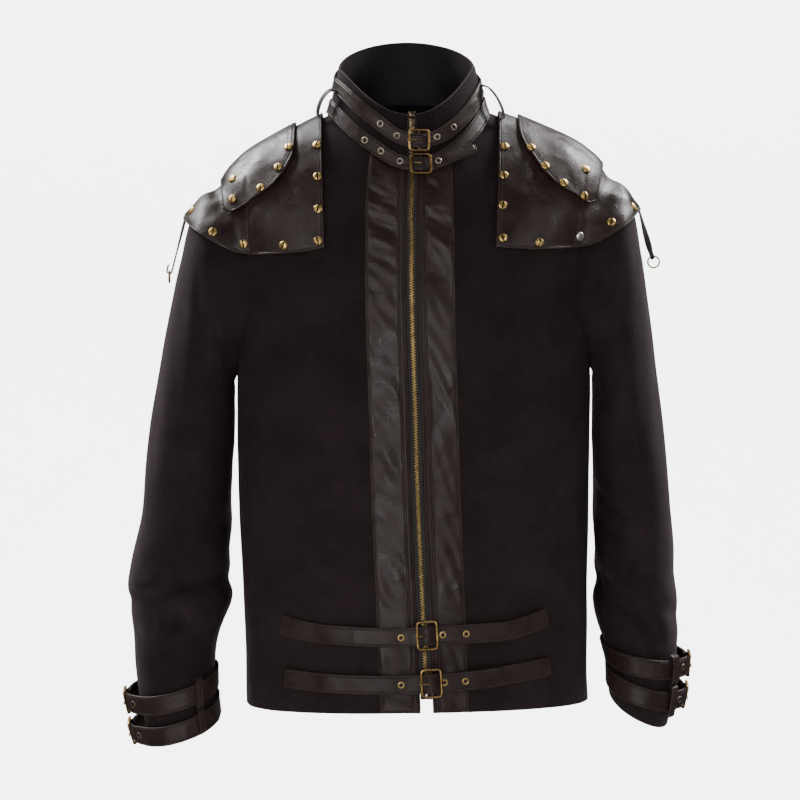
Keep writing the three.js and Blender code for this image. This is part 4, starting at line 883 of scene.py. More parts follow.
@dataclass(frozen=True)
class BodyForm:
    """The outside of the body and of the collar, as rings about the wearer."""

    hem_roll: float = 0.008
    neck_roll: float = 0.033
    top: int = 10

    rings: Table = Table(
        "side front back half ahead behind shift turn square",
        (-664, -664, -664, 193, 125, 118, 8, 0.082, 2.5),
        (-600, -600, -600, 193, 128, 115, 7, 0.07, 2.5),
        (-510, -510, -510, 195, 129, 108, 5.5, 0.05, 2.5),
        (-420, -420, -420, 198, 133, 110, 4, 0.03, 2.45),
        (-325, -328, -322, 199, 138, 118, 4, 0.01, 2.45),
        (-232, -255, -236, 199, 134, 124, 4, -0.01, 2.4),
        (-140, -190, -158, 208, 124, 123, 4, -0.02, 2.35),
        (-84, -146, -100, 213, 112, 112, 4, -0.02, 2.3),
        (-52, -116, -58, 188, 103, 98, 2, -0.01, 2.2),
        (-28, -90, -22, 146, 94, 85, -1, 0.03, 2.1),
        (-2, -62, 12, 89, 82, 70, -4, 0.08, 2),
    )
    collar_rings: Table = Table(
        "side front back half ahead behind shift turn square",
        (-1.4, -61.3, 12.6, 89, 82.2, 70, -4, 0.08, 2),
        (22, -35, 44, 82.5, 80, 71, -3.8, 0.07, 2),
        (49, -7, 83, 77, 77, 74, -3.9, 0.07, 2),
    )
    folds: Folds = Folds(
        Table(
            "a b run_a run_b width depth",
            (-0.62, 0.9, 0.05, 1.3, 26, -2.2), (-0.95, 1.6, -0.06, 1.6, 30, 2.4),
            (-1.2, 2.6, 0.16, 1.2, 24, -2.6), (0.66, 1.1, -0.05, 1.5, 28, -2.0),
            (0.98, 1.9, 0.08, 1.5, 30, 2.4), (1.22, 2.9, -0.18, 1.2, 24, -2.8),
            (-0.8, 4.8, -0.35, 1.0, 26, -2.6), (0.85, 4.9, 0.38, 1.1, 26, -2.6),
            (-1.0, 5.6, -0.3, 0.6, 18, 1.8), (1.05, 5.7, 0.3, 0.6, 18, 1.8),
            (2.2, 1.4, 0.05, 1.4, 30, -2.6), (2.65, 1.9, -0.08, 1.8, 34, 2.6),
            (3.5, 1.7, 0.06, 1.7, 34, -2.4), (3.95, 1.2, -0.05, 1.3, 30, 2.4),
            (2.45, 5.0, 0.4, 1.0, 28, -3.0), (3.8, 5.1, -0.42, 1.0, 28, -3.0),
            (3.14, 7.6, 0.5, 0.1, 22, -1.8), (2.0, 3.3, 0.3, 0.25, 18, -2.2),
            (4.25, 3.2, -0.3, 0.25, 18, -2.2),
        ),
        175,
        67,
    )

    @staticmethod
    def ring(rows: Table, v: Array, angle: Array, roll: Array, crown: Array = np.array(2.0)) -> Array:
        """A point of a superellipse ring: angle 0 is the front, a quarter turn the wearer's left. The
        height goes from the side's to the front's with the square of the cosine, and to the back's with
        the cosine raised to crown."""
        power = 2 / rows.at("square", v)
        c = np.cos(angle)
        x = rows.at("half", v) * signed_power(np.sin(angle), power)
        y = -np.where(c > 0, rows.at("ahead", v), rows.at("behind", v)) * signed_power(c, power)
        side = rows.at("side", v)
        front, back = rows.at("front", v) - side, rows.at("back", v) - side
        z = side + np.where(c > 0, front * c * c, back * np.abs(c) ** crown)
        turn = rows.at("turn", v)
        across = x * np.cos(turn) - y * np.sin(turn) + rows.at("shift", v)
        return points(across, x * np.sin(turn) + y * np.cos(turn), z + across * roll)

    def bare(self, angle: Array, v: Array) -> Array:
        """The body without its folds, from the hem (0) to the neck seam (top)."""
        roll = mix(self.hem_roll, self.neck_roll, smooth(np.asarray(v) / self.top))
        return self.ring(self.rings, v, angle, roll)

    def point(self, angle: Array, v: Array) -> Array:
        """The body with its folds, which push each point away from the ring's middle line and fade out
        towards the zip and the neck."""
        angle, v = np.broadcast_arrays(np.asarray(angle, float), np.asarray(v, float))
        bare = self.bare(angle, v)
        fade = smooth((np.abs((angle + math.pi) % TURN - math.pi) - 0.3) / 0.25) * smooth((9.3 - v) / 1.2)
        depth = self.folds.depth(angle, v) + 0.35 * ripple(angle * 175, v * 67, 46, 4)
        away = unit(bare * np.array([1.0, 1.0, 0.0]))
        return bare + away * (depth * fade)[..., None]

    def normal(self, angle: Array, v: Array) -> Array:
        """The body's normals."""
        return normal_of(self.point, angle, v, 0.01, 0.02)

    def collar_point(self, angle: Array, v: Array) -> Array:
        """The collar's outside, from its seam (0) to its rim (2)."""
        crown = mix(2, 1, np.clip(np.asarray(v) / 2, 0, 1))
        return self.ring(self.collar_rings, v, angle, self.neck_roll, crown)

    def collar_normal(self, angle: Array, v: Array) -> Array:
        """The collar's normals."""
        return normal_of(self.collar_point, angle, v, 0.01, 0.02)

    def walk(self, v: Array) -> tuple[Array, Array]:
        """Angles from -pi to pi, and the distance walked along each ring from the front to them."""
        turn = np.linspace(-math.pi, math.pi, 145)
        ring = self.bare(turn[None, :], np.atleast_1d(v)[:, None])
        run = walked(ring, 1)
        return turn, run - run[:, 72:73]

    def girth(self, v: Array, sign: int) -> Array:
        """The length of half a ring on one side."""
        run = self.walk(v)[1]
        return run[:, -1] if sign > 0 else -run[:, 0]

    def angles(self, distance: Array, v: Array) -> Array:
        """The ring angles at distances from the front middle, rows by columns, for each row v."""
        turn, run = self.walk(v)
        return np.stack([np.interp(d, r, turn) for d, r in zip(distance, run)])

    def laid(self, distance: Array, v: Array) -> tuple[Array, Array]:
        """Points and normals at distances from the front middle, rows by columns, for each row v."""
        angle = self.angles(distance, v)
        rows = np.broadcast_to(v[:, None], angle.shape)
        return self.point(angle, rows), self.normal(angle, rows)

    def neck_place(self, angle: Array, height: Array) -> tuple[Array, Array]:
        """A place on the collar, or on the body below it, by its height over the neck seam."""
        c = np.cos(angle)
        up = height / mix(25.5, 33.5, np.where(c < 0, c * c, 0))
        down = self.top + np.minimum(height, 0) / 27
        on = (height >= 0)[..., None]
        place = np.where(on, self.collar_point(angle, np.maximum(up, 0)), self.point(angle, down))
        below = self.normal(angle, np.minimum(down, 9.9))
        return place, np.where(on, self.collar_normal(angle, np.maximum(up, 0)), below)

    def front_line(self, distance: Array, q: Array) -> tuple[Array, Array]:
        """The zip's line from the hem (0) to the neck seam (1) and the collar's rim (2): rows q by
        columns at distances from its middle."""
        q = np.asarray(q, float)
        distance = np.broadcast_to(distance, (len(q), np.shape(distance)[-1]))
        v = np.clip(q, 0, 1) * self.top
        body, normal = self.laid(distance, v)
        up = np.maximum(q - 1, 0)[:, None] * 2 + 0 * distance
        angle = distance / 82.2
        on = (q > 1)[:, None, None]
        place = np.where(on, self.collar_point(angle, up), body)
        return place, np.where(on, self.collar_normal(angle, up), normal)


BODY = BodyForm()


@dataclass(frozen=True)
class SleeveForm:
    """The outside of a sleeve, as rings from inside the armhole (0) to the cuff (17)."""

    arm: Arm
    end: int = 17
    square: float = 2.2
    back_seam: float = 4.1

    rings: Table = Table(
        "inXR inZR outXR outZR inXL inZL outXL outZL deep mid lean",
        (-150, -255, -160, -104, 158, -245, 168, -92, 64, 0, 0),
        (-182, -281, -196, -97, 190, -270, 202, -85, 73, 0, 0),
        (-194, -295, -224, -96, 202, -285, 230, -84, 78, 0, 0),
        (-198, -304, -241, -111, 206, -294, 245, -99, 80, 1, 0),
        (-198, -313, -251, -135, 206, -304, 254, -122, 80, 2, 0),
        (-198, -327, -259, -170, 206, -319, 260, -157, 80, 4, 0),
        (-198, -348, -269, -215, 206, -341, 267, -203, 79, 6, 0),
        (-199, -374, -279, -268, 206, -368, 274, -257, 78, 8, 0),
        (-201, -402, -289, -328, 207, -397, 281, -318, 76, 10, 0),
        (-202, -436, -298, -392, 207, -431, 289, -384, 73, 12, 0),
        (-202, -470, -304, -452, 208, -467, 295, -442, 69, 13, 0),
        (-204, -503, -315, -502, 208, -502, 299, -492, 65, 14, 0),
        (-201, -530, -320, -530, 207, -533, 301, -531, 62, 13, 1),
        (-202, -553, -317, -556, 208, -559, 303, -562, 59, 11, 3),
        (-212, -577, -313, -588, 214, -582, 303, -592, 55, 8, 6),
        (-219, -602, -311, -625, 222, -604, 302, -621, 50, 5, 9),
        (-221, -640, -305, -665, 226, -629, 299, -652, 46, 2, 12),
        (-218, -680, -295, -706, 225, -655, 292, -686, 44, 0, 14),
    )
    folds = {
        "R": Folds(
            Table(
                "a b run_a run_b width depth",
                (2.3, 10.2, -0.9, 0.9, 13, -5), (1.9, 12.0, -1.0, 0.4, 12, -6),
                (1.3, 13.3, 0.9, 0.7, 12, -5), (4.6, 11.2, 1.1, 0.3, 15, -6),
                (0.9, 11.3, 0.75, 0.5, 9, -2.6), (0.7, 12.6, 0.8, -0.25, 8, -3.2),
                (1.0, 12.1, 0.7, 0.35, 8, 2.2), (0.8, 14.1, 0.6, 0.3, 8, -2.4),
                (1.7, 12.3, -0.35, 0.4, 5, 2.2), (1.22, 13.4, 0.02, 0.9, 5, 2.0),
                (1.6, 13.4, -0.1, 0.7, 8, -3.2), (2.0, 8.6, -0.5, 1.5, 15, -3.2),
                (1.1, 7.0, 0.25, 2.4, 20, -2.4), (1.4, 4.6, 0.45, 1.6, 15, -2.6),
                (0.5, 9.3, 0.4, 1.8, 17, 1.8), (5.6, 12.4, 0.7, 0.5, 11, -3.4),
                (5.2, 13.4, -0.6, 0.4, 10, -2.8), (5.4, 8.4, 0.3, 2.2, 20, -2.6),
                (4.4, 6.6, 0.3, 1.8, 18, -2.8), (3.1, 11.9, 1.2, 0.2, 13, -4.5),
            ),
            60,
            30,
        ),
        "L": Folds(
            Table(
                "a b run_a run_b width depth",
                (2.2, 10.4, -0.9, 1.2, 12, -8), (1.9, 12.6, -0.9, 1.3, 11, -11),
                (1.9, 8.3, -0.5, 1.1, 14, -4), (4.6, 11.2, 1.1, 0.3, 15, -6),
                (1.35, 11.4, -0.7, 0.9, 9, 2.6), (0.9, 12.0, 0.7, 0.25, 9, -3.0),
                (0.6, 13.0, -0.7, 0.35, 9, -3.0), (1.1, 13.9, 0.6, 0.3, 9, -2.6),
                (2.45, 9.3, -0.7, 0.8, 7, -5), (2.42, 11.4, -0.65, 1.45, 6, 3.6),
                (2.66, 12.2, -0.7, 1.4, 8, -5), (1.1, 6.8, -0.25, 2.4, 20, -2.4),
                (1.4, 4.5, -0.45, 1.6, 15, -2.6), (0.5, 9.2, 0.4, 1.8, 17, 1.8),
                (5.5, 12.2, -0.7, 0.5, 11, -3.4), (5.2, 13.3, 0.6, 0.4, 10, -2.8),
                (5.4, 8.2, 0.3, 2.2, 20, -2.6), (4.4, 6.4, 0.3, 1.8, 18, -2.8),
                (3.1, 11.8, 1.2, 0.2, 13, -4.5),
            ),
            60,
            30,
        ),
    }

    def point(self, angle: Array, t: Array) -> Array:
        """A point of a slanted superellipse: angle 0 is the outermost line, a quarter turn the front.
        The folds push it away from the ring's middle."""
        angle, t = np.broadcast_arrays(np.asarray(angle, float), np.asarray(t, float))
        at, k = (lambda key: self.rings.at(key, t)), self.arm.letter
        inner = points(at("inX" + k), at("mid"), at("inZ" + k))
        outer = points(at("outX" + k), at("mid"), at("outZ" + k))
        middle, across = (inner + outer) / 2, (outer - inner) / 2
        forward = points(0 * t, -at("deep"), -at("lean"))
        c = signed_power(np.cos(angle), 2 / self.square)[..., None]
        s = signed_power(np.sin(angle), 2 / self.square)[..., None]
        place = middle + across * c + forward * s
        calm = smooth((14.8 - t) / 1.0)
        depth = self.folds[k].depth(angle, t) + 0.6 * calm * ripple(angle * 60, t * 30, 38, 7)
        return place + unit(place - middle) * depth[..., None]

    def normal(self, angle: Array, t: Array) -> Array:
        """The sleeve's outward normals."""
        normal = normal_of(self.point, angle, t, 0.02, 0.03)
        outward = dot(normal, self.point(angle, t) - self.point(np.asarray(angle) + math.pi, t))
        return np.where(outward < 0, -normal, normal)

    def front_seam(self, t: Array) -> Array:
        """The angle of the long front seam."""
        return mix(2.05, 1.4, smooth((np.asarray(t) - 5) / (self.end - 5)))

    def solid(self, lift: float, end: float = 12) -> Shape:
        """The sleeve's upper part as a filled solid, grown by lift."""
        t = np.linspace(0, end, 90)[:, None]
        angle = np.linspace(0, TURN, 112, endpoint=False)[None, :]
        return filled_tube(self.point(angle, t) + self.normal(angle, t) * lift)


SLEEVES = {arm: SleeveForm(arm) for arm in Arm}


def body_solid(lift: float) -> Shape:
    """The whole body as a filled solid, grown by lift."""
    v = np.linspace(0, BODY.top, 120)[:, None]
    angle = np.linspace(0, TURN, 160, endpoint=False)[None, :]
    return filled_tube(BODY.point(angle, v) + BODY.normal(angle, v) * lift)


# ------------------------------------------------------------------ suede and plackets
@dataclass
class Bodice:
    """The suede body, its leather plackets and the welts beside the zip."""

    suede: float = 2.0
    leather: float = 1.8
    seam: float = -0.3
    zip_gap: float = 5.5
    welt_edge: float = 13
    placket_edge: tuple[float, float] = (51, 47)
    rows: int = 150

    def princess(self, v: Array, sign: int) -> Array:
        """The seam under the yoke: from 162 to 134 mm round, and with the shorter rings near the neck."""
        line = sign * mix(162, 134, smooth(v / BODY.top))
        return mix(line, sign * BODY.girth(v, sign) * 0.38, smooth((v - 8) / 2))

    def panel(self, start: Array, stop: Array, columns: int, v: Array) -> tuple[Array, Array]:
        """Points and normals between two lines of distances, with close columns at both edges."""
        share = packed(columns, float(np.mean(np.abs(stop - start))))
        return BODY.laid(mix(start[:, None], stop[:, None], share[None, :]), v)

    def pocket_lip(self, place: Array, normal: Array, distance: Array, v: Array, sign: int) -> Array:
        """Raises the seam's edge a little where a pocket opens in it: 1.3 mm times a narrow bell across
        and a flat one along."""
        low, high = (0.55, 1.78) if sign < 0 else (0.75, 2.05)
        along = smooth((v - low) / 0.12) * smooth((high - v) / 0.12)
        across = np.exp(-((distance / 4.5) ** 2))
        return place + normal * (1.3 * along[:, None] * across)[..., None]

    def build(self) -> None:
        """Makes every panel of the body and dresses it."""
        v = packed(self.rows, 640) * BODY.top
        right, left = (SLEEVES[arm].solid(-0.1) for arm in Arm)
        rolls = (0.8, 0.5, 0.7, 0.7)
        for arm, trim in ((Arm.RIGHT, right), (Arm.LEFT, left)):
            sign, side = arm.sign, arm.side
            half = sign * self.seam / 2
            placket = np.full_like(v, sign * self.placket_edge[0 if sign < 0 else 1])
            princess, flank = self.princess(v, sign), sign * BODY.girth(v, sign) * 0.5
            front = self.panel(placket + half, princess - half, 30, v)
            lipped = self.pocket_lip(*front, self.gap(front[0], True), v, sign)
            wall = shell(lipped, front[1], self.suede, rolls=rolls)
            obj = Workshop.piece(f"suede_front_{side}", wall, SUEDE, f"front_{side}", cutters=[trim])
            cloth(obj, 0.145, 0.64, "hung", f"placket_{side}")
            beside = self.panel(princess + half, flank - half, 42, v)
            lipped = self.pocket_lip(*beside, self.gap(beside[0], False), v, sign)
            wall = shell(lipped, beside[1], self.suede, rolls=rolls)
            obj = Workshop.piece(f"suede_side_{side}", wall, SUEDE, f"side_front_{side}", cutters=[trim])
            cloth(obj, 0.18, 0.66, "hung", f"front_{side}")
            self.strips(arm, v, placket - half)
        girth_left, girth_right = BODY.girth(v, 1), BODY.girth(v, -1)
        start = girth_left * 0.5 + self.seam / 2
        across = mix(start[:, None], (2 * girth_left - start)[:, None], packed(104, 500)[None, :])
        over = -girth_right[:, None] * (1 - (across - girth_left[:, None]) / girth_left[:, None])
        back = BODY.laid(np.where(across <= girth_left[:, None], across, over), v)
        wall = shell(*back, self.suede, rolls=rolls)
        obj = Workshop.piece("suede_back", wall, SUEDE, "back", cutters=[right, left])
        cloth(obj, 0.56, 0.70, "hung", "side_front_right", "side_front_left")

    @staticmethod
    def gap(place: Array, from_end: bool) -> Array:
        """The distance of each point from its row's last or first point."""
        run = walked(place, 1)
        return run[:, -1:] - run if from_end else run

    def strips(self, arm: Arm, v: Array, outer: Array) -> None:
        """One side's placket and welt, with their stitching."""
        sign, side = arm.sign, arm.side
        inner = np.full_like(v, sign * (self.welt_edge + self.seam / 2))
        place, normal = self.panel(inner, outer, 22, v)
        height, across = v[:, None] * 64, self.gap(place, False)
        slant = across * 0.9 * sign + height
        dents = 1.5 * ripple(slant, across * 0.35, 58, 11 + sign)
        dents += 0.5 * ripple(slant * 1.3, across, 24, 3 - sign)
        calm = smooth(across / 6) * smooth(self.gap(place, True) / 6)
        place = place + normal * (dents * calm - 0.2)[..., None]
        wall = shell(place, normal, self.leather + 0.4, rolls=(0.7, 0.4, 0.9, 0.9))
        obj = Workshop.piece(f"leather_placket_{side}", wall, PLACKET_LEATHER, f"placket_{side}")
        cloth(obj, 0.038 if sign < 0 else 0.034, 0.625, "hung", f"welt_{side}")
        near, far = (np.full_like(v, sign * d) for d in (self.zip_gap, self.welt_edge - self.seam / 2))
        wall = shell(*self.panel(near, far, 6, v), 3.0, 1.0, rolls=(0.7, 0.4, 1.3, 0.9))
        Workshop.piece(f"leather_welt_{side}", wall, PLACKET_LEATHER, f"welt_{side}")
        rows = []
        on_placket, on_welt = sign * (self.welt_edge + 2.6), sign * (self.welt_edge - 2.4)
        for line, lift in ((on_placket, 0.0), (outer[0] - sign * 2.4, 0.0), (on_welt, 1.0)):
            spots, out = BODY.laid(np.full((len(v), 1), line), v)
            rows.append(stitch_row((spots + out * lift)[:, 0], out[:, 0], 3.4, 2.6))
        Workshop.piece(f"thread_front_{side}", Shape.joined(rows), THREAD)


@dataclass
class SleevePair:
    """The two-piece suede sleeves."""

    suede: float = 2.0
    seam_angle: float = -0.003
    rows: int = 145

    def build(self) -> None:
        """Makes a top and an under panel for each arm and trims them at the body."""
        trim = body_solid(-0.1)
        for arm, form in SLEEVES.items():
            t = packed(self.rows, 640) * form.end
            front = form.front_seam(t)
            back = np.full_like(t, form.back_seam)
            panels = (("top", back - TURN, front, 74, 0.33), ("under", front, back, 46, 0.2))
            for name, start, stop, columns, width in panels:
                share = packed(columns, 200, 0.9)
                angle = mix(start[:, None], stop[:, None], share[None, :])
                rows = np.broadcast_to(t[:, None], angle.shape)
                nudge = np.zeros_like(share)
                nudge[0], nudge[-1] = self.seam_angle, -self.seam_angle
                place, normal = form.point(angle + nudge, rows), form.normal(angle, rows)
                wall = shell(place, normal, self.suede, rolls=(0, 0.9, 0.8, 0.8))
                solid = f"sleeve_{name}_{arm.side}"
                obj = Workshop.piece(f"suede_{solid}", wall, SUEDE, solid, cutters=[trim])
                cloth(obj, width, 0.66, "hung", f"side_front_{arm.side}")


@dataclass
class Collar:
    """The stand collar."""

    wall: float = 3.0

    def build(self) -> None:
        """Makes the collar from its seam to its rolled rim."""
        start = 5.5 / 82.2
        angle = mix(start, TURN - start, packed(150, 480, 1.2))[None, :]
        v = mix(-0.14, 2, packed(26, 60, 1.2))[:, None]
        swell = 0.5 * ripple(angle * 80, v * 30, 40, 9) * smooth(v) * smooth(2 - v)
        normal = BODY.collar_normal(angle, v)
        place = BODY.collar_point(angle, v) + normal * swell[..., None]
        wall = shell(place, normal, self.wall, rolls=(0.6, 1.4, 1.2, 1.2))
        obj = Workshop.piece("suede_collar", wall, SUEDE, "collar")
        cloth(obj, 0.52, 0.066, "stretched", "back")


# ------------------------------------------------------------------ zip
@dataclass
class Zip:
    """The metal zip: tapes, teeth, slider and pull."""

    pitch: float = 2.9
    pin_height: float = 6.9
    rise: float = 0.033

    def build(self) -> None:
        """Makes every piece of the zip."""
        self.tapes()
        self.teeth()
        self.slider()

    def tapes(self) -> None:
        """The two woven tapes beside the chain."""
        q = np.concatenate([np.linspace(self.rise, 1, 140), np.linspace(1.01, 2, 24)])
        for arm in Arm:
            line = np.linspace(arm.sign * 0.4, arm.sign * 5.2, 5)
            place, normal = BODY.front_line(line, q)
            Workshop.piece(f"woven_tape_{arm.side}", shell(place, normal, 1.0), TAPE, f"zip_tape_{arm.side}")

    def teeth(self) -> None:
        """Teeth along the chain in turn from both sides: each a small rounded block."""
        q = np.concatenate([np.linspace(self.rise + 0.002, 1, 260), np.linspace(1.004, 1.93, 60)])
        place, normal = BODY.front_line(np.array([0.0]), q)
        place, normal = place[:, 0], normal[:, 0]
        run = walked(place)
        spots = np.arange(2.0, run[-1] - 1, self.pitch / 2)
        middle, out = read_at(spots, run, place), unit(read_at(spots, run, normal))
        up = unit(np.gradient(middle, axis=0))
        side = np.where(np.arange(len(spots)) % 2 == 0, 1.0, -1.0)[:, None]
        across = unit(np.cross(up, out)) * side
        out = np.cross(across, up) * side
        along = np.array([[-1.0], [-0.8], [0.8], [1.0]])
        size = np.array([[0.72], [1.0], [1.0], [0.72]])
        corner_y = np.array([1, 0.55, -0.55, -1, -1, -0.55, 0.55, 1])
        corner_z = np.roll(corner_y, 2)
        block = points(0.95 + along * 1.75, size * corner_y * 0.52, 0.1 + size * corner_z * 1.05)
        teeth = filled_tube(block).placed(np.stack([across, up, out], axis=1), middle)
        Workshop.piece("brass_teeth", teeth, BRASS, "zip_chain")

    def slider(self) -> None:
        """The slider, a waisted plate with two lugs and a pin, and its pull, a tab with an eye."""
        place, normal = BODY.front_line(np.array([0.0]), np.array([1.9]))
        out = unit(normal[0, 0] * np.array([0, 1, 1]))
        axes = np.stack([np.array([1.0, 0, 0]), np.cross(out, np.array([1.0, 0, 0])), out])[None]
        spot = place[0]
        y = np.linspace(-6.3, 6.3, 15)
        width = 4.3 - 0.9 * np.cos(y / 6.3 * math.pi / 2) + 0.2 * np.sign(y)
        width[[0, -1]] *= 0.82
        height = np.full_like(y, 1.2)
        height[[0, -1]] *= 0.6
        plate = tube(points(0 * y, y, 2.8 + 0 * y), width, 16, height / width)
        ahead = np.array([0, 1.0, 0])
        stems = [points(np.full(5, s), np.zeros(5), np.linspace(3.4, 8, 5)) for s in (-2.9, 2.9)]
        lugs = [tube(stem, np.array([0.62, 0.62, 0.62, 0.55, 0.3]), 10, 2.0, ahead) for stem in stems]
        pin = tube(points(np.linspace(-2.6, 2.6, 5), np.zeros(5), np.full(5, self.pin_height)), 0.7, 12)
        slider = Shape.joined([plate, *lugs, pin]).placed(axes, spot)
        Workshop.piece("brass_slider", slider, BLACK_BRASS, "zip_slider")
        centre = np.array([0, 0, self.pin_height]) @ axes[0] + spot[0]
        turn = np.linspace(0, TURN, 8, endpoint=False)
        eye = lathe(1.95 + 0.5 * np.cos(turn), 1.3 * np.sin(turn), 18)
        eye.points = eye.points[:, [2, 0, 1]]
        z = np.array([-1.7, -2.6, -4, -8, -11, -12])
        tab = tube(points(0 * z, 0 * z, z), np.array([1.3, 2.0, 3.1, 3.4, 3.2, 2.4]), 14, 0.2, ahead)
        pull = Shape.joined([eye.facing_out(), tab]).placed(np.eye(3)[None], centre[None])
        finish = replace(BLACK_BRASS, slot=Slot.ANTIQUE)
        Workshop.piece("brass_pull", pull, finish, "zip_pull", body="zip_pull")


# ------------------------------------------------------------------ yoke
@dataclass
class Studs:
    """Slotted stud heads: a low dome with a rounded rim and a screwdriver's slot."""

    radius: float = 5.2
    height: float = 2.2
    sink: float = 1.1
    slot_depth: float = 0.75

    def head(self, slotted: bool = True) -> Shape:
        """One head. A square grid of u and v becomes a disc by u sqrt(1 - v^2/2), v sqrt(1 - u^2/2), and
        its height falls from the dome to the rim as a quarter round, less the slot's depth near u = 0."""
        u = np.array([-1, -0.97, -0.88, -0.7, -0.4, -0.17, -0.12, 0.12, 0.17, 0.4, 0.7, 0.88, 0.97, 1])
        w = np.array([-1, -0.97, -0.88, -0.6, 0, 0.6, 0.88, 0.97, 1])
        u, w = np.meshgrid(u, w)
        x, y = u * np.sqrt(1 - w * w / 2), w * np.sqrt(1 - u * u / 2)
        r = np.clip(np.hypot(x, y), 0, 1)
        rim = np.clip((r - 0.78) / 0.22, 0, 1)
        z = self.height - 0.35 * r * r - (self.height - 0.5) * (1 - np.sqrt(1 - rim**2)) * 0.9
        slot = np.abs(u) < 0.145
        if slotted:
            z = z - self.slot_depth * slot
        top = points(x * self.radius, y * self.radius, z)
        index = numbered(top)
        rim_line = np.concatenate([index[0], index[1:, -1], index[-1, -2::-1], index[-2:0:-1, 0]])
        skirt = top.reshape(-1, 3)[rim_line] * np.array([1, 1, 0]) - np.array([0, 0, self.sink])
        n = index.size
        low = n + np.arange(len(rim_line))
        sides = np.stack([rim_line, np.roll(rim_line, -1), np.roll(low, -1), low], axis=1)[:, ::-1]
        hub = n + len(rim_line)
        base = np.stack([np.roll(low, -1), low, np.full(len(low), hub)], axis=1)[:, ::-1]
        place = np.concatenate([top.reshape(-1, 3), skirt, [[0, 0, -self.sink]]])
        # the slot is marked as inner, and the metal paints shade into it
        recess = np.concatenate([(slot * float(slotted)).ravel(), np.zeros(len(low) + 1)])
        return Shape(place, np.concatenate([grid_faces(index), sides]), base, inner=recess).facing_out()


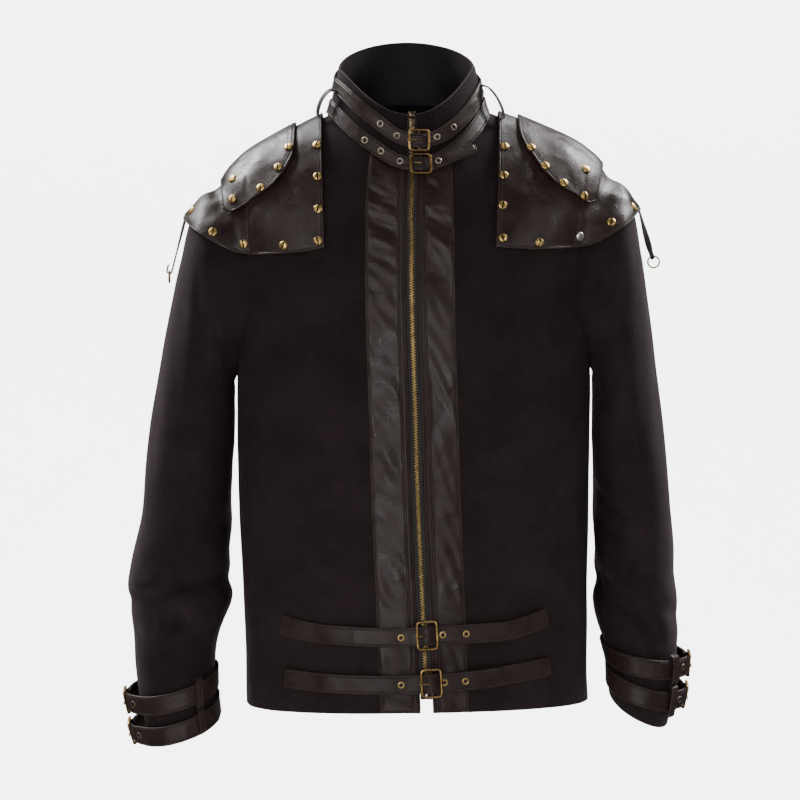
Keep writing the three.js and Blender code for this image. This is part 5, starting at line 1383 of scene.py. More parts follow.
@dataclass
class Yoke:
    """The studded shoulder yoke in two layers, laid over the body and a sleeve."""

    arm: Arm
    leather: float = 1.8
    lift: float = 4.6
    gap: float = 2.5
    columns: int = 18
    rows: int = 12
    seam: float = 3.8

    stations: Table = Table(
        "topXR topZR lowXR lowZR topXL topZL lowXL lowZL reach",
        (99, 3, 95, -154, 100, 5, 94, -153, 126),
        (122, -8, 118, -158, 129, -8, 118, -155, 119),
        (144, -20, 141, -160, 151, -20, 141, -156, 110),
        (165, -31, 163, -160.5, 174, -31, 163, -155, 101),
        (185, -43, 184, -159, 202, -42, 184, -153, 92),
        (206, -54, 204, -154, 219, -53, 204, -149, 82),
        (222, -66, 221, -146, 233, -65, 222, -140, 69),
        (237, -79, 237, -136, 246, -77, 238, -129, 52),
        (250, -94, 251, -125, 255, -91, 251, -117, 32),
        (261, -109, 262, -115, 262, -104, 262, -108, 10),
    )
    end = 9
    inner_edge = {
        "R": Table("x z", (-129, -12), (-129, -36), (-134, -58), (-151, -82), (-173, -98), (-204, -113)),
        "L": Table("x z", (121, -6), (123, -27), (138, -54), (154, -75), (174, -90), (201, -106)),
    }
    outer_edge = {
        "R": Table("x z", (-205, -56), (-208, -112)),
        "L": Table("x z", (203, -45), (205, -105)),
    }
    base_studs = {
        "R": Table(
            "x z", (-103, -40), (-102, -76), (-101, -112), (-101, -147), (-139, -152), (-184, -150),
            (-218, -137), (-244, -112),
        ),
        "L": Table(
            "x z", (96, -39), (97, -74), (98, -108), (101, -144), (141, -149), (187, -142), (222, -126),
            (249, -108),
        ),
    }
    top_studs = {
        "R": Table("x z", (-135, -42), (-146, -65), (-165, -88), (-197, -100), (-198, -77)),
        "L": Table("x z", (134, -43), (149, -64), (169, -83), (192, -97), (195, -67)),
    }

    def __post_init__(self) -> None:
        """Finds how far the rays from the hubs go to the outermost cloth."""
        self.lengths = self.measure()

    def hub(self, u: Array) -> Array:
        """The inner end of the rays at a station u."""
        share = u / self.end
        k = self.arm.letter
        x = mix(0.94, 0.8, share) * self.stations.at("lowX" + k, u)
        return points(self.arm.sign * x, 0 * x, self.stations.at("lowZ" + k, u) - mix(4, 30, share))

    def aim(self, u: Array, w: Array) -> Array:
        """Unit directions of the rays: w is 0 on the ridge, 1 at the front lower edge and -1 at the back
        one, on an arch whose cosine and sine are raised to a power from 1.35 to 1."""
        k, power = self.arm.letter, mix(1.35, 1, u / self.end)
        turn = np.minimum(np.abs(w), 1) * math.pi / 2
        c, s = np.abs(np.cos(turn)) ** power, np.sin(turn) ** power
        at = lambda key: self.stations.at(key + k, u)
        x, z = mix(at("lowX"), at("topX"), c), mix(at("lowZ"), at("topZ"), c)
        y = -np.where(w < 0, -1, 1) * self.stations.at("reach", u) * s
        return unit(points(self.arm.sign * x, y, z) - self.hub(u))

    def measure(self) -> Array:
        """Ray lengths over a grid of stations and w, smoothed three times but never made shorter."""
        trees = []
        for shape in (body_solid(0), SLEEVES[self.arm].solid(0)):
            faces = shape.quads.tolist() + shape.tris.tolist()
            trees.append(BVHTree.FromPolygons(shape.points.tolist(), faces))
        stations, turns = np.linspace(0, self.end, self.columns + 1), np.linspace(-1, 1, 2 * self.rows + 1)
        u, w = np.meshgrid(stations, turns, indexing="ij")
        hub, aim = self.hub(u), self.aim(u, w)
        far = 400.0
        start = (hub + aim * far).reshape(-1, 3)
        first = np.zeros(len(start))
        for i, (spot, way) in enumerate(zip(start, aim.reshape(-1, 3))):
            hits = [tree.ray_cast(Vector(spot), Vector(-way))[3] for tree in trees]
            first[i] = max(far - h for h in hits if h is not None)
        first = first.reshape(u.shape)
        lengths = first
        for _ in range(3):
            wide = np.pad(lengths, 1, mode="edge")
            mean = (wide[:-2, 1:-1] + wide[2:, 1:-1] + wide[1:-1, :-2] + wide[1:-1, 2:]) / 4
            lengths = np.maximum(first, mix(lengths, mean, 0.7))
        return lengths

    def read(self, i: Array, j: Array) -> Array:
        """The ray length at a fractional place in the grid, by cubics both ways."""

        def weights(t: Array) -> tuple[Array, ...]:
            """Catmull-Rom weights of the four nearest entries."""
            before, here = 0.5 * (-t + 2 * t**2 - t**3), 0.5 * (2 - 5 * t**2 + 3 * t**3)
            return before, here, 0.5 * (t + 4 * t**2 - 3 * t**3), 0.5 * (t**3 - t**2)

        last_i, last_j = (n - 1 for n in self.lengths.shape)
        a = np.clip(np.floor(i), 0, last_i - 1).astype(int)
        b = np.clip(np.floor(j), 0, last_j - 1).astype(int)
        total = 0.0
        for p, wp in enumerate(weights(i - a), -1):
            for q, wq in enumerate(weights(j - b), -1):
                total = total + wp * wq * self.lengths[np.clip(a + p, 0, last_i), np.clip(b + q, 0, last_j)]
        return total

    def point(self, u: Array, w: Array) -> Array:
        """The yoke's outer face."""
        u, w = np.broadcast_arrays(np.asarray(u, float), np.asarray(w, float))
        length = self.read(u / self.end * self.columns, (w + 1) * self.rows)
        soft = 0.8 * ripple(u * 20, w * 150, 44, 5) * smooth((np.abs(w) - 0.1) / 0.3)
        soft = soft - 0.9 * np.exp(-(((u - self.seam) * 18 / 1.6) ** 2)) * smooth((np.abs(w) - 0.35) / 0.1)
        return self.hub(u) + self.aim(u, w) * (length + self.lift + self.leather + soft)[..., None]

    def normal(self, u: Array, w: Array) -> Array:
        """The outer face's normals."""
        u, w = np.broadcast_arrays(np.asarray(u, float), np.asarray(w, float))
        a, b = np.clip(u, 0.15, self.end - 0.15), np.clip(w, -0.97, 0.97)
        normal = normal_of(self.point, a, b, 0.15, 0.03)
        outward = dot(normal, self.point(u, w) - self.hub(u))
        return np.where(outward < 0, -normal, normal)

    def seen(self, x: Array, z: Array, lift: float = 0.0) -> tuple[Array, Array]:
        """The station and w where the front of the yoke, raised by lift, is seen at x and z."""

        def lifted(u: Array, w: Array) -> Array:
            """The raised face."""
            w = np.clip(w, 0, 1)
            return self.point(u, w) + self.normal(u, w) * lift

        start = np.clip((np.abs(x) - 100) / 18, 0.5, self.end - 1)
        u, w = find_seen(lifted, x, z, start, np.clip((10 - z) / 160, 0.2, 0.9))
        return np.clip(u, 0.3, self.end - 0.5), np.clip(w, 0, 0.95)

    def seen_rows(self, table: Table, lift: float = 0.0) -> tuple[Array, Array]:
        """The stations and w of a table's places on the yoke raised by lift."""
        return self.seen(table.columns["x"], table.columns["z"], lift)

    def build(self) -> None:
        """Makes the two halves, the upper layer, the studs and the stitching."""
        side = self.arm.side
        studs, pale, threads = [], [], []
        u = (packed(76, 190, 0.9) * self.end)[:, None]
        opening = 0.004 + 0.075 * smooth((u - 6.2) / 2.6)
        for face, name in ((1, "front"), (-1, "back")):
            w = face * mix(opening, 1.0, packed(46, 150, 0.9)[None, :])
            place, normal = self.point(u, w), self.normal(u, w)
            wall = shell(place, normal, self.leather, rolls=(0.9,) * 4)
            obj = Workshop.piece(f"leather_yoke_{name}_{side}", wall, YOKE_LEATHER, f"yoke_{name}_{side}")
            cloth(obj, 0.25, 0.21, "draped", f"front_{side}" if face > 0 else "back")
            for k, (a, b) in enumerate(zip(*self.seen_rows(self.base_studs[self.arm.letter]))):
                kind = pale if self.arm is Arm.LEFT and k == 5 and face > 0 else studs
                kind.append((a, face * b, 0.0, 0.35 * math.sin(9 * k)))
            run = np.linspace(0.02, 0.98, 160)
            for inset in (2.4, 5.2):
                low = (1 - inset / 150) * face
                threads.append((run * self.end, np.full_like(run, low)))
            threads.append((np.full_like(run, 0.11), face * run))
            threads.append((np.full_like(run, 0.25), face * run))
            for station in (self.seam - 0.11, self.seam + 0.11):
                threads.append((np.full(60, station), face * np.linspace(0.6, 0.98, 60)))
        rows = [stitch_row(self.point(a, b), self.normal(a, b), 3.2, 2.5) for a, b in threads]
        rise = self.leather + self.gap
        rows += self.overlay(rise, studs)
        Workshop.piece(f"thread_yoke_{side}", Shape.joined(rows), THREAD)
        self.place_studs(f"brass_studs_{side}", studs, BRASS, True)
        if pale:
            self.place_studs("pale_stud", pale, NICKEL, False)

    def overlay(self, rise: float, studs: list[tuple[float, ...]]) -> list[Shape]:
        """The upper layer: between its inner edge, a curve through the table, and its straight outer one,
        from the back corner (q = -1) over the ridge to the front corner (q = 1).

        Args:
            rise: height of its outer face over the lower layer's.
            studs: gets this layer's studs.

        Returns:
            Its stitching.
        """
        letter, side = self.arm.letter, self.arm.side
        inner, outer = (self.seen_rows(edge[letter], rise) for edge in (self.inner_edge, self.outer_edge))
        bent = Table("u w", *[(a, 0 if i == 0 else b) for i, (a, b) in enumerate(zip(*inner))])

        def spread(q: Array, s: Array) -> tuple[Array, Array]:
            """The station and w at q round the shoulder and s from the inner to the outer edge."""
            far = np.abs(q)
            a = mix(bent.at("u", far * bent.last), mix(outer[0][0], outer[0][1], far), s)
            b = mix(bent.at("w", far * bent.last), mix(0, outer[1][1], far), s)
            return a, np.sign(q) * np.maximum(b, 0)

        q = 0.97 * signed_power(2 * packed(86, 320, 0.9) - 1, 1.25)[:, None]
        s = packed(36, 75, 0.9)[None, :]
        a, b = spread(q, s)
        normal = self.normal(a, b)
        wall = shell(self.point(a, b), normal, self.leather, rise, rolls=(0.9,) * 4)
        obj = Workshop.piece(f"leather_overlay_{side}", wall, YOKE_LEATHER, f"overlay_{side}")
        cloth(obj, 0.11, 0.33, "draped", f"yoke_front_{side}")
        for face in (1, -1):
            for k, (a, b) in enumerate(zip(*self.seen_rows(self.top_studs[letter], rise))):
                studs.append((a, face * b, rise, 0.4 * math.sin(7 * k + 1)))
        rows = []
        for share in (0.035, 0.075, 0.965):
            line = spread(np.linspace(-0.95, 0.95, 260), np.full(260, share))
            out = self.normal(*line)
            rows.append(stitch_row(self.point(*line) + out * rise, out, 3.2, 2.5))
        return rows

    def place_studs(self, name: str, studs: list[tuple[float, ...]], finish: Finish, slotted: bool) -> None:
        """Sets stud heads on the leather: Z along the normal and the slot turned by each one's angle."""
        u, w, lift, turn = np.array(studs).T
        out = self.normal(u, w)
        place = self.point(u, w) + out * lift[:, None]
        side = unit(np.cross(np.array([0.0, 0.0, 1.0]), out))
        fore = np.cross(out, side)
        c, s = np.cos(turn)[:, None], np.sin(turn)[:, None]
        axes = np.stack([side * c + fore * s, fore * c - side * s, out], axis=1)
        Workshop.piece(name, Studs().head(slotted).placed(axes, place), finish, crisp=38)


# ------------------------------------------------------------------ belts
@dataclass(frozen=True)
class Passage:
    """Heights of a fastened belt's layers and of its buckle, over the belt's lower face."""

    under_bar: float = 2.2
    over_bar: float = 5.0
    bar: float = 3.8
    low: float = 2.9
    bars: float = 4.9
    high: float = 7.2
    length: float = 25

    def lift(self, s: Array) -> Array:
        """The free end's height at a distance s from the buckle's middle: it rises before the buckle, and
        again over the middle bar."""
        hump = (self.over_bar - self.under_bar) * smooth(1.15 - np.abs(s) / 8.5)
        return self.under_bar * smooth((s + 26) / 14) + hump


PASSAGE = Passage()


class BeltPath:
    """The way of a belt over the cloth, walked by distance."""

    def __init__(self, edges: Callable[[Array], tuple[Array, Array, Array]], width: float) -> None:
        """Keeps the edges, a function of q from 0 to 1 that gives the lower and upper edge and the cloth's
        normal, and measures the middle line."""
        self.edges, self.width = edges, width
        self.q = np.linspace(0, 1, 161)
        low, high, _ = edges(self.q)
        self.run = walked((low + high) / 2)
        self.total = float(self.run[-1])

    @staticmethod
    def square_edges(below: tuple[Array, Array], above: tuple[Array, Array]) -> tuple[Array, Array, Array]:
        """Two edges with the mean of their normals, made square to the line between them."""
        up = unit(above[0] - below[0])
        normal = below[1] + above[1]
        return below[0], above[0], unit(normal - up * dot(normal, up))

    def frames(self, distance: Array) -> tuple[Array, Array, Array, Array]:
        """The middle, the unit vector across, the normal and the way on at distances along the belt."""
        q = np.interp(distance, self.run, self.q)
        low, high, normal = self.edges(q)
        ends = [self.edges(np.clip(q + step, 0, 1)) for step in (0.004, -0.004)]
        travel = unit(ends[0][0] + ends[0][1] - ends[1][0] - ends[1][1])
        up = unit(np.cross(normal, travel))
        return (low + high) / 2, up * np.sign(dot(up, high - low)), normal, travel


@dataclass
class Belt:
    """One length of a belt on its path, with its rolled edges, tip, eyelets and stitching."""

    name: str
    path: BeltPath
    start: float
    stop: float
    base: Callable[[Array], Array]
    buckle: float | None = None
    tip: bool = True
    eyelets: tuple[float, ...] = ()
    leather: float = 1.8
    point: float = 14
    boxed: tuple[float, ...] = ()

    def height(self, distance: Array) -> Array:
        """The inner face's height over the cloth."""
        lift = self.base(np.interp(distance, self.path.run, self.path.q))
        return lift + (PASSAGE.lift(distance - self.buckle) if self.buckle is not None else 0)

    def width_at(self, distance: Array) -> Array:
        """The belt's share of its full width: it narrows to a rounded point at its end."""
        if not self.tip:
            return np.ones_like(distance)
        left = np.clip((self.stop - distance) / self.point, 0, 1)
        return 0.16 + 0.84 * np.sqrt(1 - (1 - left) ** 2.4)

    def build(self, stands_for: str) -> None:
        """Makes the belt, its eyelets and its stitches.

        Args:
            stands_for: the solid that the belt replaces.
        """
        straight = np.arange(self.start, self.stop - self.point, 1.8)
        pointed = self.stop - self.point * (1 - packed(16, self.point, 0.8))
        distance = np.concatenate([straight, pointed])
        middle, up, normal, _ = self.path.frames(distance)
        across = (2 * packed(9, self.path.width, 0.85) - 1)[None, :, None]
        half = (self.width_at(distance) * self.path.width / 2)[:, None, None]
        waves = 0.22 * ripple(distance[:, None], across[..., 0] * 9, 26, len(self.name))
        if self.buckle is not None:
            waves = waves * smooth((np.abs(distance[:, None] - self.buckle) - 10) / 12)
        lift = (self.height(distance)[:, None] + self.leather + waves)[..., None]
        place = middle[:, None] + up[:, None] * across * half + normal[:, None] * lift
        normals = np.broadcast_to(normal[:, None], place.shape)
        wall = shell(place, normals, self.leather, rolls=(0.7, 0.7, 0.85, 0.85))
        holes = [self.hole(s, 2.0) for s in self.eyelets]
        if self.buckle is not None:
            holes.append(self.hole(-0.8, 2.0))
        Workshop.piece(f"leather_{self.name}", wall, STRAP_LEATHER, stands_for, cutters=holes)
        self.trim()

    def spot(self, s: Array, lift: float = 0.0) -> tuple[Array, Array]:
        """Frames of three row vectors and places on the outer face, at distances from the buckle."""
        distance = np.atleast_1d(s).astype(float) + (self.buckle or 0)
        middle, up, normal, _ = self.path.frames(distance)
        place = middle + normal * (self.height(distance) + self.leather + lift)[:, None]
        slope = (self.height(distance + 1.5) - self.height(distance - 1.5)) / 3
        travel = unit(np.cross(up, normal))
        slope = slope[:, None] * np.sign(dot(travel, self.path.frames(distance)[3]))
        tilted = unit(normal - travel * slope)
        side = unit(np.cross(up, tilted))
        return np.stack([side, np.cross(tilted, side), tilted], axis=1), place

    def hole(self, s: float, radius: float) -> Shape:
        """A round cutter through the belt at a distance from its buckle."""
        axes, place = self.spot(np.array([s]))
        z = np.array([-1.3 * self.leather, 0.8])
        return tube(points(0 * z, 0 * z, z), radius, 18, up=np.array([1.0, 0, 0])).placed(axes, place)

    def trim(self) -> None:
        """Eyelets, each a flared ring with a painted shade in its bore, and a row of stitches along both
        edges.
        """
        if self.eyelets:
            r = np.array([2.0, 2.0, 2.35, 2.9, 3.5, 3.95, 4.1, 3.95, 2.2])
            z = np.array([-1.6, 0.3, 0.62, 0.72, 0.6, 0.3, 0.0, -0.25, -0.25])
            ring = lathe(r, z, 22)
            # the bore, r < 2.1, is marked as inner, and the metal paints shade into it
            ring.inner = np.tile((r < 2.1).astype(float), 22)
            finish = BRASS if self.name.startswith("waist") else DARK_BRASS
            rings = ring.placed(*self.spot(np.array(self.eyelets)))
            Workshop.piece(f"brass_eyelets_{self.name}", rings, finish, crisp=60)
        distance = np.arange(self.start + 3, self.stop - 4, 1.5)
        middle, up, normal, _ = self.path.frames(distance)
        level = normal * (self.height(distance) + self.leather)[:, None]
        rows = []
        for way in (-1, 1):
            reach = way * (self.width_at(distance) * self.path.width / 2 - 2.0)[:, None]
            rows.append(stitch_row(middle + up * reach + level, normal, 2.9, 2.2, 0.26))
        for box in self.boxed:
            rows += self.box_stitch(box)
        Workshop.piece(f"thread_{self.name}", Shape.joined(rows), THREAD)

    def box_stitch(self, place: float) -> list[Shape]:
        """A sewn square with a cross in it, centred on a distance along the belt."""
        half = self.path.width / 2 - 3.2
        ends = [(-1, -1, -1, 1), (1, -1, 1, 1), (-1, -1, 1, 1), (-1, 1, 1, -1)]
        rows = []
        for a, b, c, d in ends:
            t = np.linspace(0, 1, 24)
            distance = place + half * mix(a, c, t)
            middle, up, normal, _ = self.path.frames(distance)
            level = normal * (self.height(distance) + self.leather)[:, None]
            line = middle + up * (half * mix(b, d, t))[:, None] + level
            rows.append(stitch_row(line, normal, 2.9, 2.2, 0.26))
        return rows


@dataclass
class Buckle:
    """A middle-bar buckle: a rounded frame that arches over the belt, its bar and its prong."""

    width: float
    room: float

    prong = Table(
        "x z", (0.7, 3.0), (0.5, 4.9), (-0.6, 6.9), (-2.4, 7.9), (-6, 8.15), (-11, 8.1), (-13.6, 7.7)
    )

    def shape(self) -> Shape:
        """The buckle with X the way the free end travels and Z away from the wearer. The frame's middle
        line is a superellipse of exponent 7, and its section grows from the end bars to the side rails."""
        rail = self.room / 4
        a, b = PASSAGE.length / 2 - 1.6, (self.width + self.room) / 2 - rail / 2
        angle = np.linspace(0, TURN, 96, endpoint=False)
        path = points(a * signed_power(np.cos(angle), 2 / 7), b * signed_power(np.sin(angle), 2 / 7), 0)
        onward = unit(np.roll(path, -1, axis=0) - np.roll(path, 1, axis=0))
        inward = np.stack([-onward[:, 1], onward[:, 0], 0 * angle], axis=1)
        beside = smooth((np.abs(path[:, 1]) - (self.width / 2 + 0.4)) / (b - self.width / 2 - 0.4))
        half = mix(1.6, rail / 2, beside)
        low = mix(PASSAGE.bars, PASSAGE.low + 0.4, beside)
        frame_ring = hoop(path, inward, half, low, PASSAGE.high - 0.15 * beside)
        y = np.linspace(-b, b, 7)
        bar = tube(points(0 * y, y, PASSAGE.bar + 0 * y), 0.8, 10, up=np.array([0, 0, 1.0]))
        line, t = self.prong, np.linspace(0, self.prong.last, 40)
        path = points(line.at("x", t), 0 * t, line.at("z", t))
        prong = tube(path, mix(1.05, 0.75, t / line.last), 10, up=np.array([0, 1.0, 0]))
        return Shape.joined([frame_ring, bar, prong])

    def build(self, name: str, path: BeltPath, distance: float, base: Callable[[Array], Array]) -> None:
        """Sets the buckle on its belt.

        Args:
            name: the solid that it replaces.
            path: the belt's way.
            distance: the buckle's place along it.
            base: the belt's height over the cloth at q.
        """
        middle, _, normal, _ = path.frames(np.array([distance]))
        ends = path.frames(np.array([distance - 3, distance + 3]))[0]
        travel = ends[1] - ends[0]
        travel = unit(travel - normal[0] * float(travel @ normal[0]))
        axes = np.stack([travel, np.cross(normal[0], travel), normal[0]])[None]
        place = middle + normal * base(np.interp([distance], path.run, path.q))[:, None]
        Workshop.piece(f"brass_{name}", self.shape().placed(axes, place), ANTIQUE, name, crisp=50)


@dataclass
class WaistBelts:
    """Two belts across the waist front, each fastened in the middle."""

    width: float = 21
    room: float = 12.5

    lines = {
        "upper": Table(
            "x z", (-141, -568), (-110, -575), (-66, -578.6), (-11, -580), (18.7, -577.5), (65, -576),
            (110.7, -573), (151, -561),
        ),
        "lower": Table(
            "x z", (-138, -627), (-105, -630), (-66, -631.5), (-11, -632), (23.3, -629.8), (60, -628),
            (102.5, -623.3), (154, -616),
        ),
    }
    buckles = {"upper": (18.7, 110.7), "lower": (23.3, 102.5)}
    eyelets = {"upper": (-10.9, 35.5, 60.6, 86.0), "lower": (-9.4, 36.5, 59.1, 82.0)}

    def build(self) -> None:
        """Makes both belts in two lengths each, and their buckles."""
        for name, line in self.lines.items():

            def edge(q: Array, way: int, line: Table = line) -> tuple[Array, Array]:
                """One edge, found on the body where it is seen from the front."""
                x, z = line.at("x", q * line.last), line.at("z", q * line.last) + way * self.width / 2
                angle, v = find_seen(BODY.point, x, z, x / 160, np.clip((z + 664) / 70, 0.1, 2))
                return BODY.point(angle, v), BODY.normal(angle, v)

            path = BeltPath(lambda q, edge=edge: BeltPath.square_edges(edge(q, -1), edge(q, 1)), self.width)
            seen = line.at("x", path.q * line.last)
            at = lambda x: float(path.run[np.argmin(np.abs(seen - x))])
            base = lambda q: mix(0.8, 1.9, smooth(np.minimum(q, 1 - q) * 7))
            buckle, tip = at(self.buckles[name][0]), at(self.buckles[name][1])
            holes = tuple(at(x) - buckle for x in self.eyelets[name][:3])
            free = Belt(f"waist_{name}_right", path, 0.0, tip, base, buckle, True, holes, boxed=(11.0,))
            free.build(f"waist_belt_{name}_right")
            sewn = (path.total - 11.0,)
            held = Belt(f"waist_{name}_left", path, buckle - 3, path.total, base, None, False, boxed=sewn)
            held.build(f"waist_belt_{name}_left")
            Buckle(self.width, self.room).build(f"buckle_waist_{name}", path, buckle, base)


@dataclass
class CollarBelts:
    """Two belts round the collar, fastened in front."""

    width: float = 16
    room: float = 8.4

    lines = {
        "upper": Table(
            "angle height",
            (0.1, 21), (0.6, 22), (1.1, 25), (1.57, 30), (2.3, 38), (3.14, 44), (4.0, 41), (4.71, 34.5),
            (5.3, 35), (5.8, 33), (6.08, 27), (6.36, 23.3), (6.6, 21.6), (6.85, 21.8), (7.35, 24),
        ),
        "lower": Table(
            "angle height",
            (0.1, -3), (0.6, 0), (1.1, 4), (1.57, 9.5), (2.3, 14), (3.14, 15), (4.0, 14), (4.71, 11.5),
            (5.56, 8), (5.8, 7.5), (6.08, 2), (6.36, -3.5), (6.6, -5), (6.78, -7), (6.97, -11),
        ),
    }
    eyelets = {"upper": (-47.0, -24.0, 20.0, 43.0), "lower": (-70.0, -47.0, -23.0, 20.0)}
    low_base = {"upper": 1.4, "lower": 0.9}

    def build(self) -> None:
        """Makes both belts and their buckles."""
        for name, line in self.lines.items():

            def edges(q: Array, line: Table = line) -> tuple[Array, Array, Array]:
                """Both edges on the collar."""
                angle, height = line.at("angle", q * line.last), line.at("height", q * line.last)
                sides = [BODY.neck_place(angle, height + way * self.width / 2) for way in (-1, 1)]
                return BeltPath.square_edges(*sides)

            path = BeltPath(edges, self.width)
            turned = line.at("angle", path.q * line.last) < line.columns["angle"][0] + TURN
            buckle = float(path.run[np.flatnonzero(turned)[-1]])
            base = lambda q, low=self.low_base[name]: mix(low, 2.2, smooth(6 * np.abs(q - 0.45) - 0.8))
            belt = Belt(f"collar_{name}", path, 0.0, path.total, base, buckle, True, self.eyelets[name])
            belt.build(f"collar_belt_{name}")
            Buckle(self.width, self.room).build(f"buckle_collar_{name}", path, buckle, base)


@dataclass
class CuffBelts:
    """Two belts round a cuff, fastened on the outside of the arm, and the strip that holds them down."""

    arm: Arm
    width: float = 22
    room: float = 6.5
    lap: float = 0.95

    rows = {
        "R": {"upper": (15.92, 0.28, 8.0), "lower": (16.71, 0.27, 10.0)},
        "L": {"upper": (15.05, 0.4, 6.0), "lower": (16.1, 0.37, 6.0)},
    }
    keepers = {"R": (2.15, 15.5, 16.99, 9.0), "L": (0.72, 14.5, 16.6, 13.0)}

    @staticmethod
    def stand_off(angle: Array, most: float) -> Array:
        """How far a belt stands off the cloth: most at the buckle, fading round the arm."""
        return most * np.exp(-((np.sin(angle / 2) / 0.3) ** 2))

    def build(self) -> None:
        """Makes the belts, buckles and strip of one cuff."""
        form, letter, side = SLEEVES[self.arm], self.arm.letter, self.arm.side
        for name, (at, half, off) in self.rows[letter].items():
            travel = lambda q: -np.asarray(q) * (TURN + self.lap)

            def edges(q: Array, at: float = at, half: float = half) -> tuple[Array, Array, Array]:
                """Both edges on the sleeve."""
                ends = [np.minimum(at + way * half, 16.99) for way in (1, -1)]
                lines = [(form.point(travel(q), t), form.normal(travel(q), t)) for t in ends]
                return BeltPath.square_edges(*lines)

            path = BeltPath(edges, self.width)
            buckle = float(path.run[round(160 * TURN / (TURN + self.lap))])
            base = lambda q, off=off: 2.3 + self.stand_off(travel(q), off)
            holes = (-20.0, 20.0)
            belt = Belt(f"cuff_{side}_{name}", path, 0.0, path.total, base, buckle, True, holes)
            belt.build(f"cuff_belt_{side}_{name}")
            Buckle(self.width, self.room).build(f"buckle_cuff_{side}_{name}", path, buckle, base)
        self.keeper(form, side)

    def keeper(self, form: SleeveForm, side: str) -> None:
        """The strip over the belts: it lies on the cuff and steps up over each belt."""
        angle, start, stop, width = self.keepers[self.arm.letter]
        t = mix(start, stop, packed(70, 50, 0.5))
        place, normal = form.point(angle, t), form.normal(angle, t)
        across = unit(form.point(angle + 0.1, t) - form.point(angle - 0.1, t))
        rows = self.rows[self.arm.letter].values()
        over = np.max([smooth((half + 0.2 - np.abs(t - at)) / 0.16) for at, half, _ in rows], axis=0)
        off = self.stand_off(angle, self.rows[self.arm.letter]["upper"][2])
        height = (0.35 + over * (4.8 + off) + 1.4)[:, None]
        share = (packed(4, width, 0.6) - 0.5)[None, :, None]
        spots = (place + normal * height)[:, None] + across[:, None] * share * width
        wall = shell(spots, np.broadcast_to(normal[:, None], spots.shape), 1.4, rolls=(0.5, 0.5, 0.6, 0.6))
        Workshop.piece(f"leather_keeper_{side}", wall, STRAP_LEATHER, f"cuff_keeper_{side}")


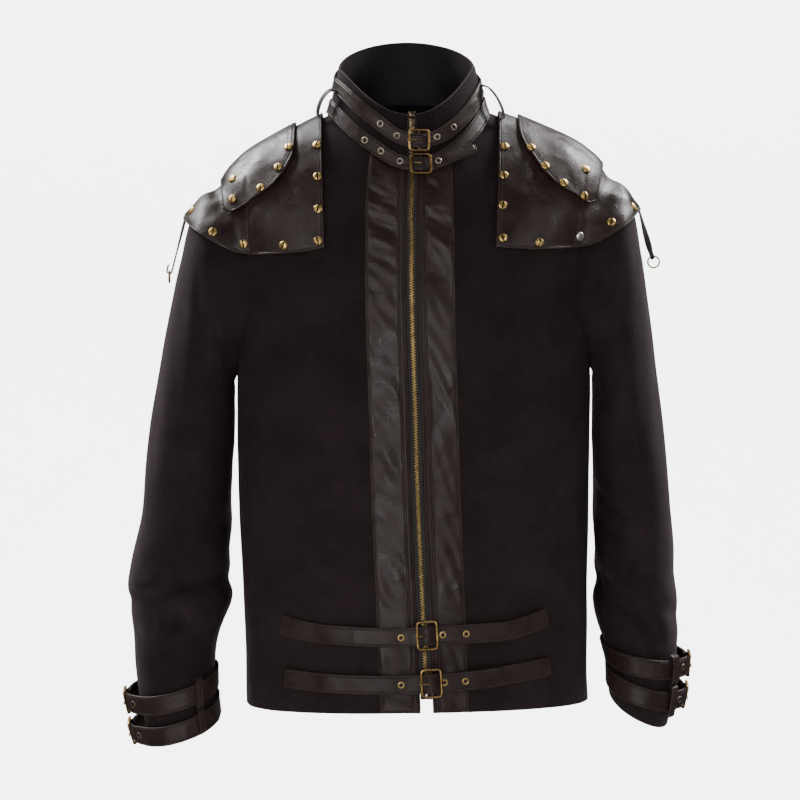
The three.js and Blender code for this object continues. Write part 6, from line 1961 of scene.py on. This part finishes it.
# ------------------------------------------------------------------ loops, straps and rings
@dataclass
class Hangings:
    """The collar loop, and the hanging strap with its ring, on one side."""

    yoke: Yoke
    leather: float = 1.8
    width: float = 7
    fold_width: float = 4.4
    fold: float = 2.8
    ring: float = 6.5
    wire: float = 1.0

    loop_angle: float = 1.3
    loop_height: float = 31.0
    loop_width: float = 8.0

    loop_off = {"R": 3.8, "L": 4.6}
    ends = {"R": (-268.5, -3, -180), "L": (272.5, -3, -163)}
    twists = {"R": (-1.2, -1.57), "L": (1.4, 0.0)}

    def strip(self, path: Array, widths: Array, across: Array) -> Shape:
        """A flat strip along a path, its faces square to the way it runs."""
        normal = unit(np.cross(np.gradient(path, axis=0), across))
        share = (packed(4, self.width, 0.7) - 0.5)[None, :, None]
        spots = path[:, None] + across[:, None] * share * np.asarray(widths)[:, None, None]
        normals = np.broadcast_to(normal[:, None], spots.shape)
        return shell(spots, normals, self.leather, self.leather / 2, rolls=(0.5, 0.5, 0.7, 0.7))

    def build(self) -> None:
        """Makes the loop, the strap and the ring."""
        self.loop()
        self.tail()

    def loop(self) -> None:
        """The loop: a cubic curve from the collar's side out and down to the yoke."""
        arm, side = self.yoke.arm, self.yoke.arm.side
        place, normal = BODY.neck_place(np.array([arm.sign * self.loop_angle]), np.array([self.loop_height]))
        low = self.yoke.point(0.2, 0.2) + self.yoke.normal(0.2, 0.2) * self.leather
        start = place[0] + normal[0] * self.loop_off[arm.letter]
        out = start + normal[0] * 10 + np.array([0, 0, 3])
        above = low + np.array([arm.sign * 3, 0, 10])
        t = np.linspace(0, 1, 40)[:, None]
        path = start * (1 - t) ** 3 + 3 * out * t * (1 - t) ** 2 + 3 * above * t * t * (1 - t) + low * t**3
        across = unit(np.cross(low - start, normal[0]))
        wall = self.strip(path, np.full(len(t), self.loop_width), np.broadcast_to(across, path.shape))
        Workshop.piece(f"leather_loop_{side}", wall, STRAP_LEATHER, f"collar_loop_{side}")

    def tail(self) -> None:
        """The strap: straight down from the yoke's tip, turning as it goes, then folded round its ring."""
        arm, side, yoke = self.yoke.arm, self.yoke.arm.side, self.yoke
        tip, before = yoke.point(yoke.end, 0.0), yoke.point(yoke.end - 0.2, 0.0)
        start = tip - yoke.normal(yoke.end, 0.0) * 0.9 + unit(tip - before) * 0.8
        end = np.array(self.ends[arm.letter], float)
        down = unit(end - start)

        def across(turn: Array) -> Array:
            """The strap's width at an angle, square to the way down."""
            flat = points(np.cos(turn), np.sin(turn), 0)
            return unit(flat - down * dot(flat, down))

        first, last = self.twists[arm.letter]
        width = across(np.array(last))
        away = np.cross(down, width)
        r = np.linspace(0, 1, 36)
        line = mix(start, end, r[:, None])
        bend = np.linspace(0, 1, 16)[1:, None] * math.pi
        fold = end + away * self.fold * (1 - np.cos(bend)) + down * self.fold * np.sin(bend)
        back = fold[-1] - down * np.linspace(1.5, 7, 5)[:, None]
        path = np.concatenate([line, fold, back])
        narrowed = mix(self.width, self.fold_width, smooth(4 * r - 3))
        widths = np.concatenate([narrowed, np.full(20, self.fold_width)])
        ways = np.concatenate([across(mix(first, last, smooth(r))), np.broadcast_to(width, (20, 3))])
        Workshop.piece(f"leather_tail_{side}", self.strip(path, widths, ways), STRAP_LEATHER, f"tail_{side}")
        pivot = end + away * self.fold
        plumb = unit(np.array([0, 0, -1.0]) + width * width[2])
        angle = np.linspace(0, TURN, 48, endpoint=False)
        circle = points(self.ring * np.cos(angle), self.ring * np.sin(angle), 0)
        inward = -unit(circle)
        axes = np.stack([width, plumb, np.cross(width, plumb)])[None]
        wire = np.full(48, self.wire)
        ring = hoop(circle, inward, wire, -wire, wire).placed(axes, (pivot + plumb * self.ring)[None])
        Workshop.piece(f"brass_ring_{side}", ring, ANTIQUE, f"ring_{side}", body=f"ring_{side}")


# ------------------------------------------------------------------ studio
@dataclass
class Studio:
    """A pale floor that curves up behind, soft lights and the camera."""

    target: tuple[float, float, float] = (-0.0113, 0.0, -0.325)
    distance: float = 3.6
    elevation: float = 2.0
    lens: float = 143.4
    floor: float = -1.25

    def build(self) -> None:
        """Makes the backdrop, the lights and the camera."""
        self.backdrop()
        self.light("key", (-1.5, -2.3, 0.9), 0.55, 15)
        self.light("fill", (1.7, -2.3, 0.7), 0.55, 14)
        self.light("strip", (-0.5, -3.4, -0.35), 0.45, 50, height=2.2)
        self.light("top", (0.0, -0.3, 1.8), 0.8, 2)
        self.light("left_rim", (-2.2, 0.9, 0.7), 1.0, 1.6)
        self.light("right_rim", (2.2, 0.9, 0.7), 1.0, 1.6)
        for side in (-1, 1):
            self.light(f"backdrop_{side + 1}", (side * 2.4, 1.6, 2.6), 2.0, 680, (side * 0.4, 4.2, -0.4))
        world = bpy.data.worlds.new("studio_air")
        world.use_nodes = True
        world.node_tree.nodes["Background"].inputs[0].default_value = (1, 1, 1, 1)
        world.node_tree.nodes["Background"].inputs[1].default_value = 0.13
        bpy.context.scene.world = world
        self.camera()

    def backdrop(self) -> None:
        """The floor: a profile that runs back, turns up on a quarter circle and goes on up."""
        bend = np.linspace(0, math.pi / 2, 24)
        y = np.concatenate([[-9.0], 3 + 1.2 * np.sin(bend), [4.2]]) * 1000
        z = np.concatenate([[0.0], 1.2 * (1 - np.cos(bend)), [7.0]]) * 1000 + self.floor * 1000
        x = np.linspace(-9000, 9000, 9)[None, :]
        place = points(x, y[:, None], z[:, None])
        floor = Shape(place.reshape(-1, 3), grid_faces(numbered(place)))
        obj = linked("backdrop", floor.mesh("backdrop"))
        obj.data.materials.append(Workshop.material(Plain("pale_floor", None)))
        obj.visible_glossy = False

    def light(
        self, name: str, place: tuple, size: float, power: float, aim: tuple | None = None, height: float = 0
    ) -> None:
        """An area light.

        Args:
            name: its name.
            place: where it stands, in metres.
            size: its width.
            power: in watts.
            aim: what it faces, the jacket where none is given.
            height: its height, the width where none is given.
        """
        lamp = bpy.data.lights.new(name, "AREA")
        lamp.shape = "RECTANGLE"
        lamp.size, lamp.size_y, lamp.energy = size, height or size, power
        obj = linked(name, lamp)
        obj.location = place
        obj.rotation_euler = (Vector(aim or self.target) - Vector(place)).to_track_quat("-Z", "Y").to_euler()

    def camera(self) -> None:
        """A long lens in front of the jacket, slightly above its middle."""
        lens = bpy.data.cameras.new("camera")
        lens.lens, lens.sensor_width = self.lens, 36
        obj = linked("camera", lens)
        tilt = math.radians(self.elevation)
        obj.location = Vector(self.target) + Vector((0, -math.cos(tilt), math.sin(tilt))) * self.distance
        obj.rotation_euler = (Vector(self.target) - obj.location).to_track_quat("-Z", "Y").to_euler()
        bpy.context.scene.camera = obj


def main() -> None:
    """Builds every part of the jacket in order, then the studio."""
    logging.basicConfig(level=logging.INFO, format="%(name)s %(message)s")
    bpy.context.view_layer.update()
    Studio().build()
    Bodice().build()
    SleevePair().build()
    Collar().build()
    Zip().build()
    for arm in Arm:
        yoke = Yoke(arm)
        yoke.build()
        Hangings(yoke).build()
    WaistBelts().build()
    CollarBelts().build()
    for arm in Arm:
        CuffBelts(arm).build()


if __name__ == "__main__":
    main()
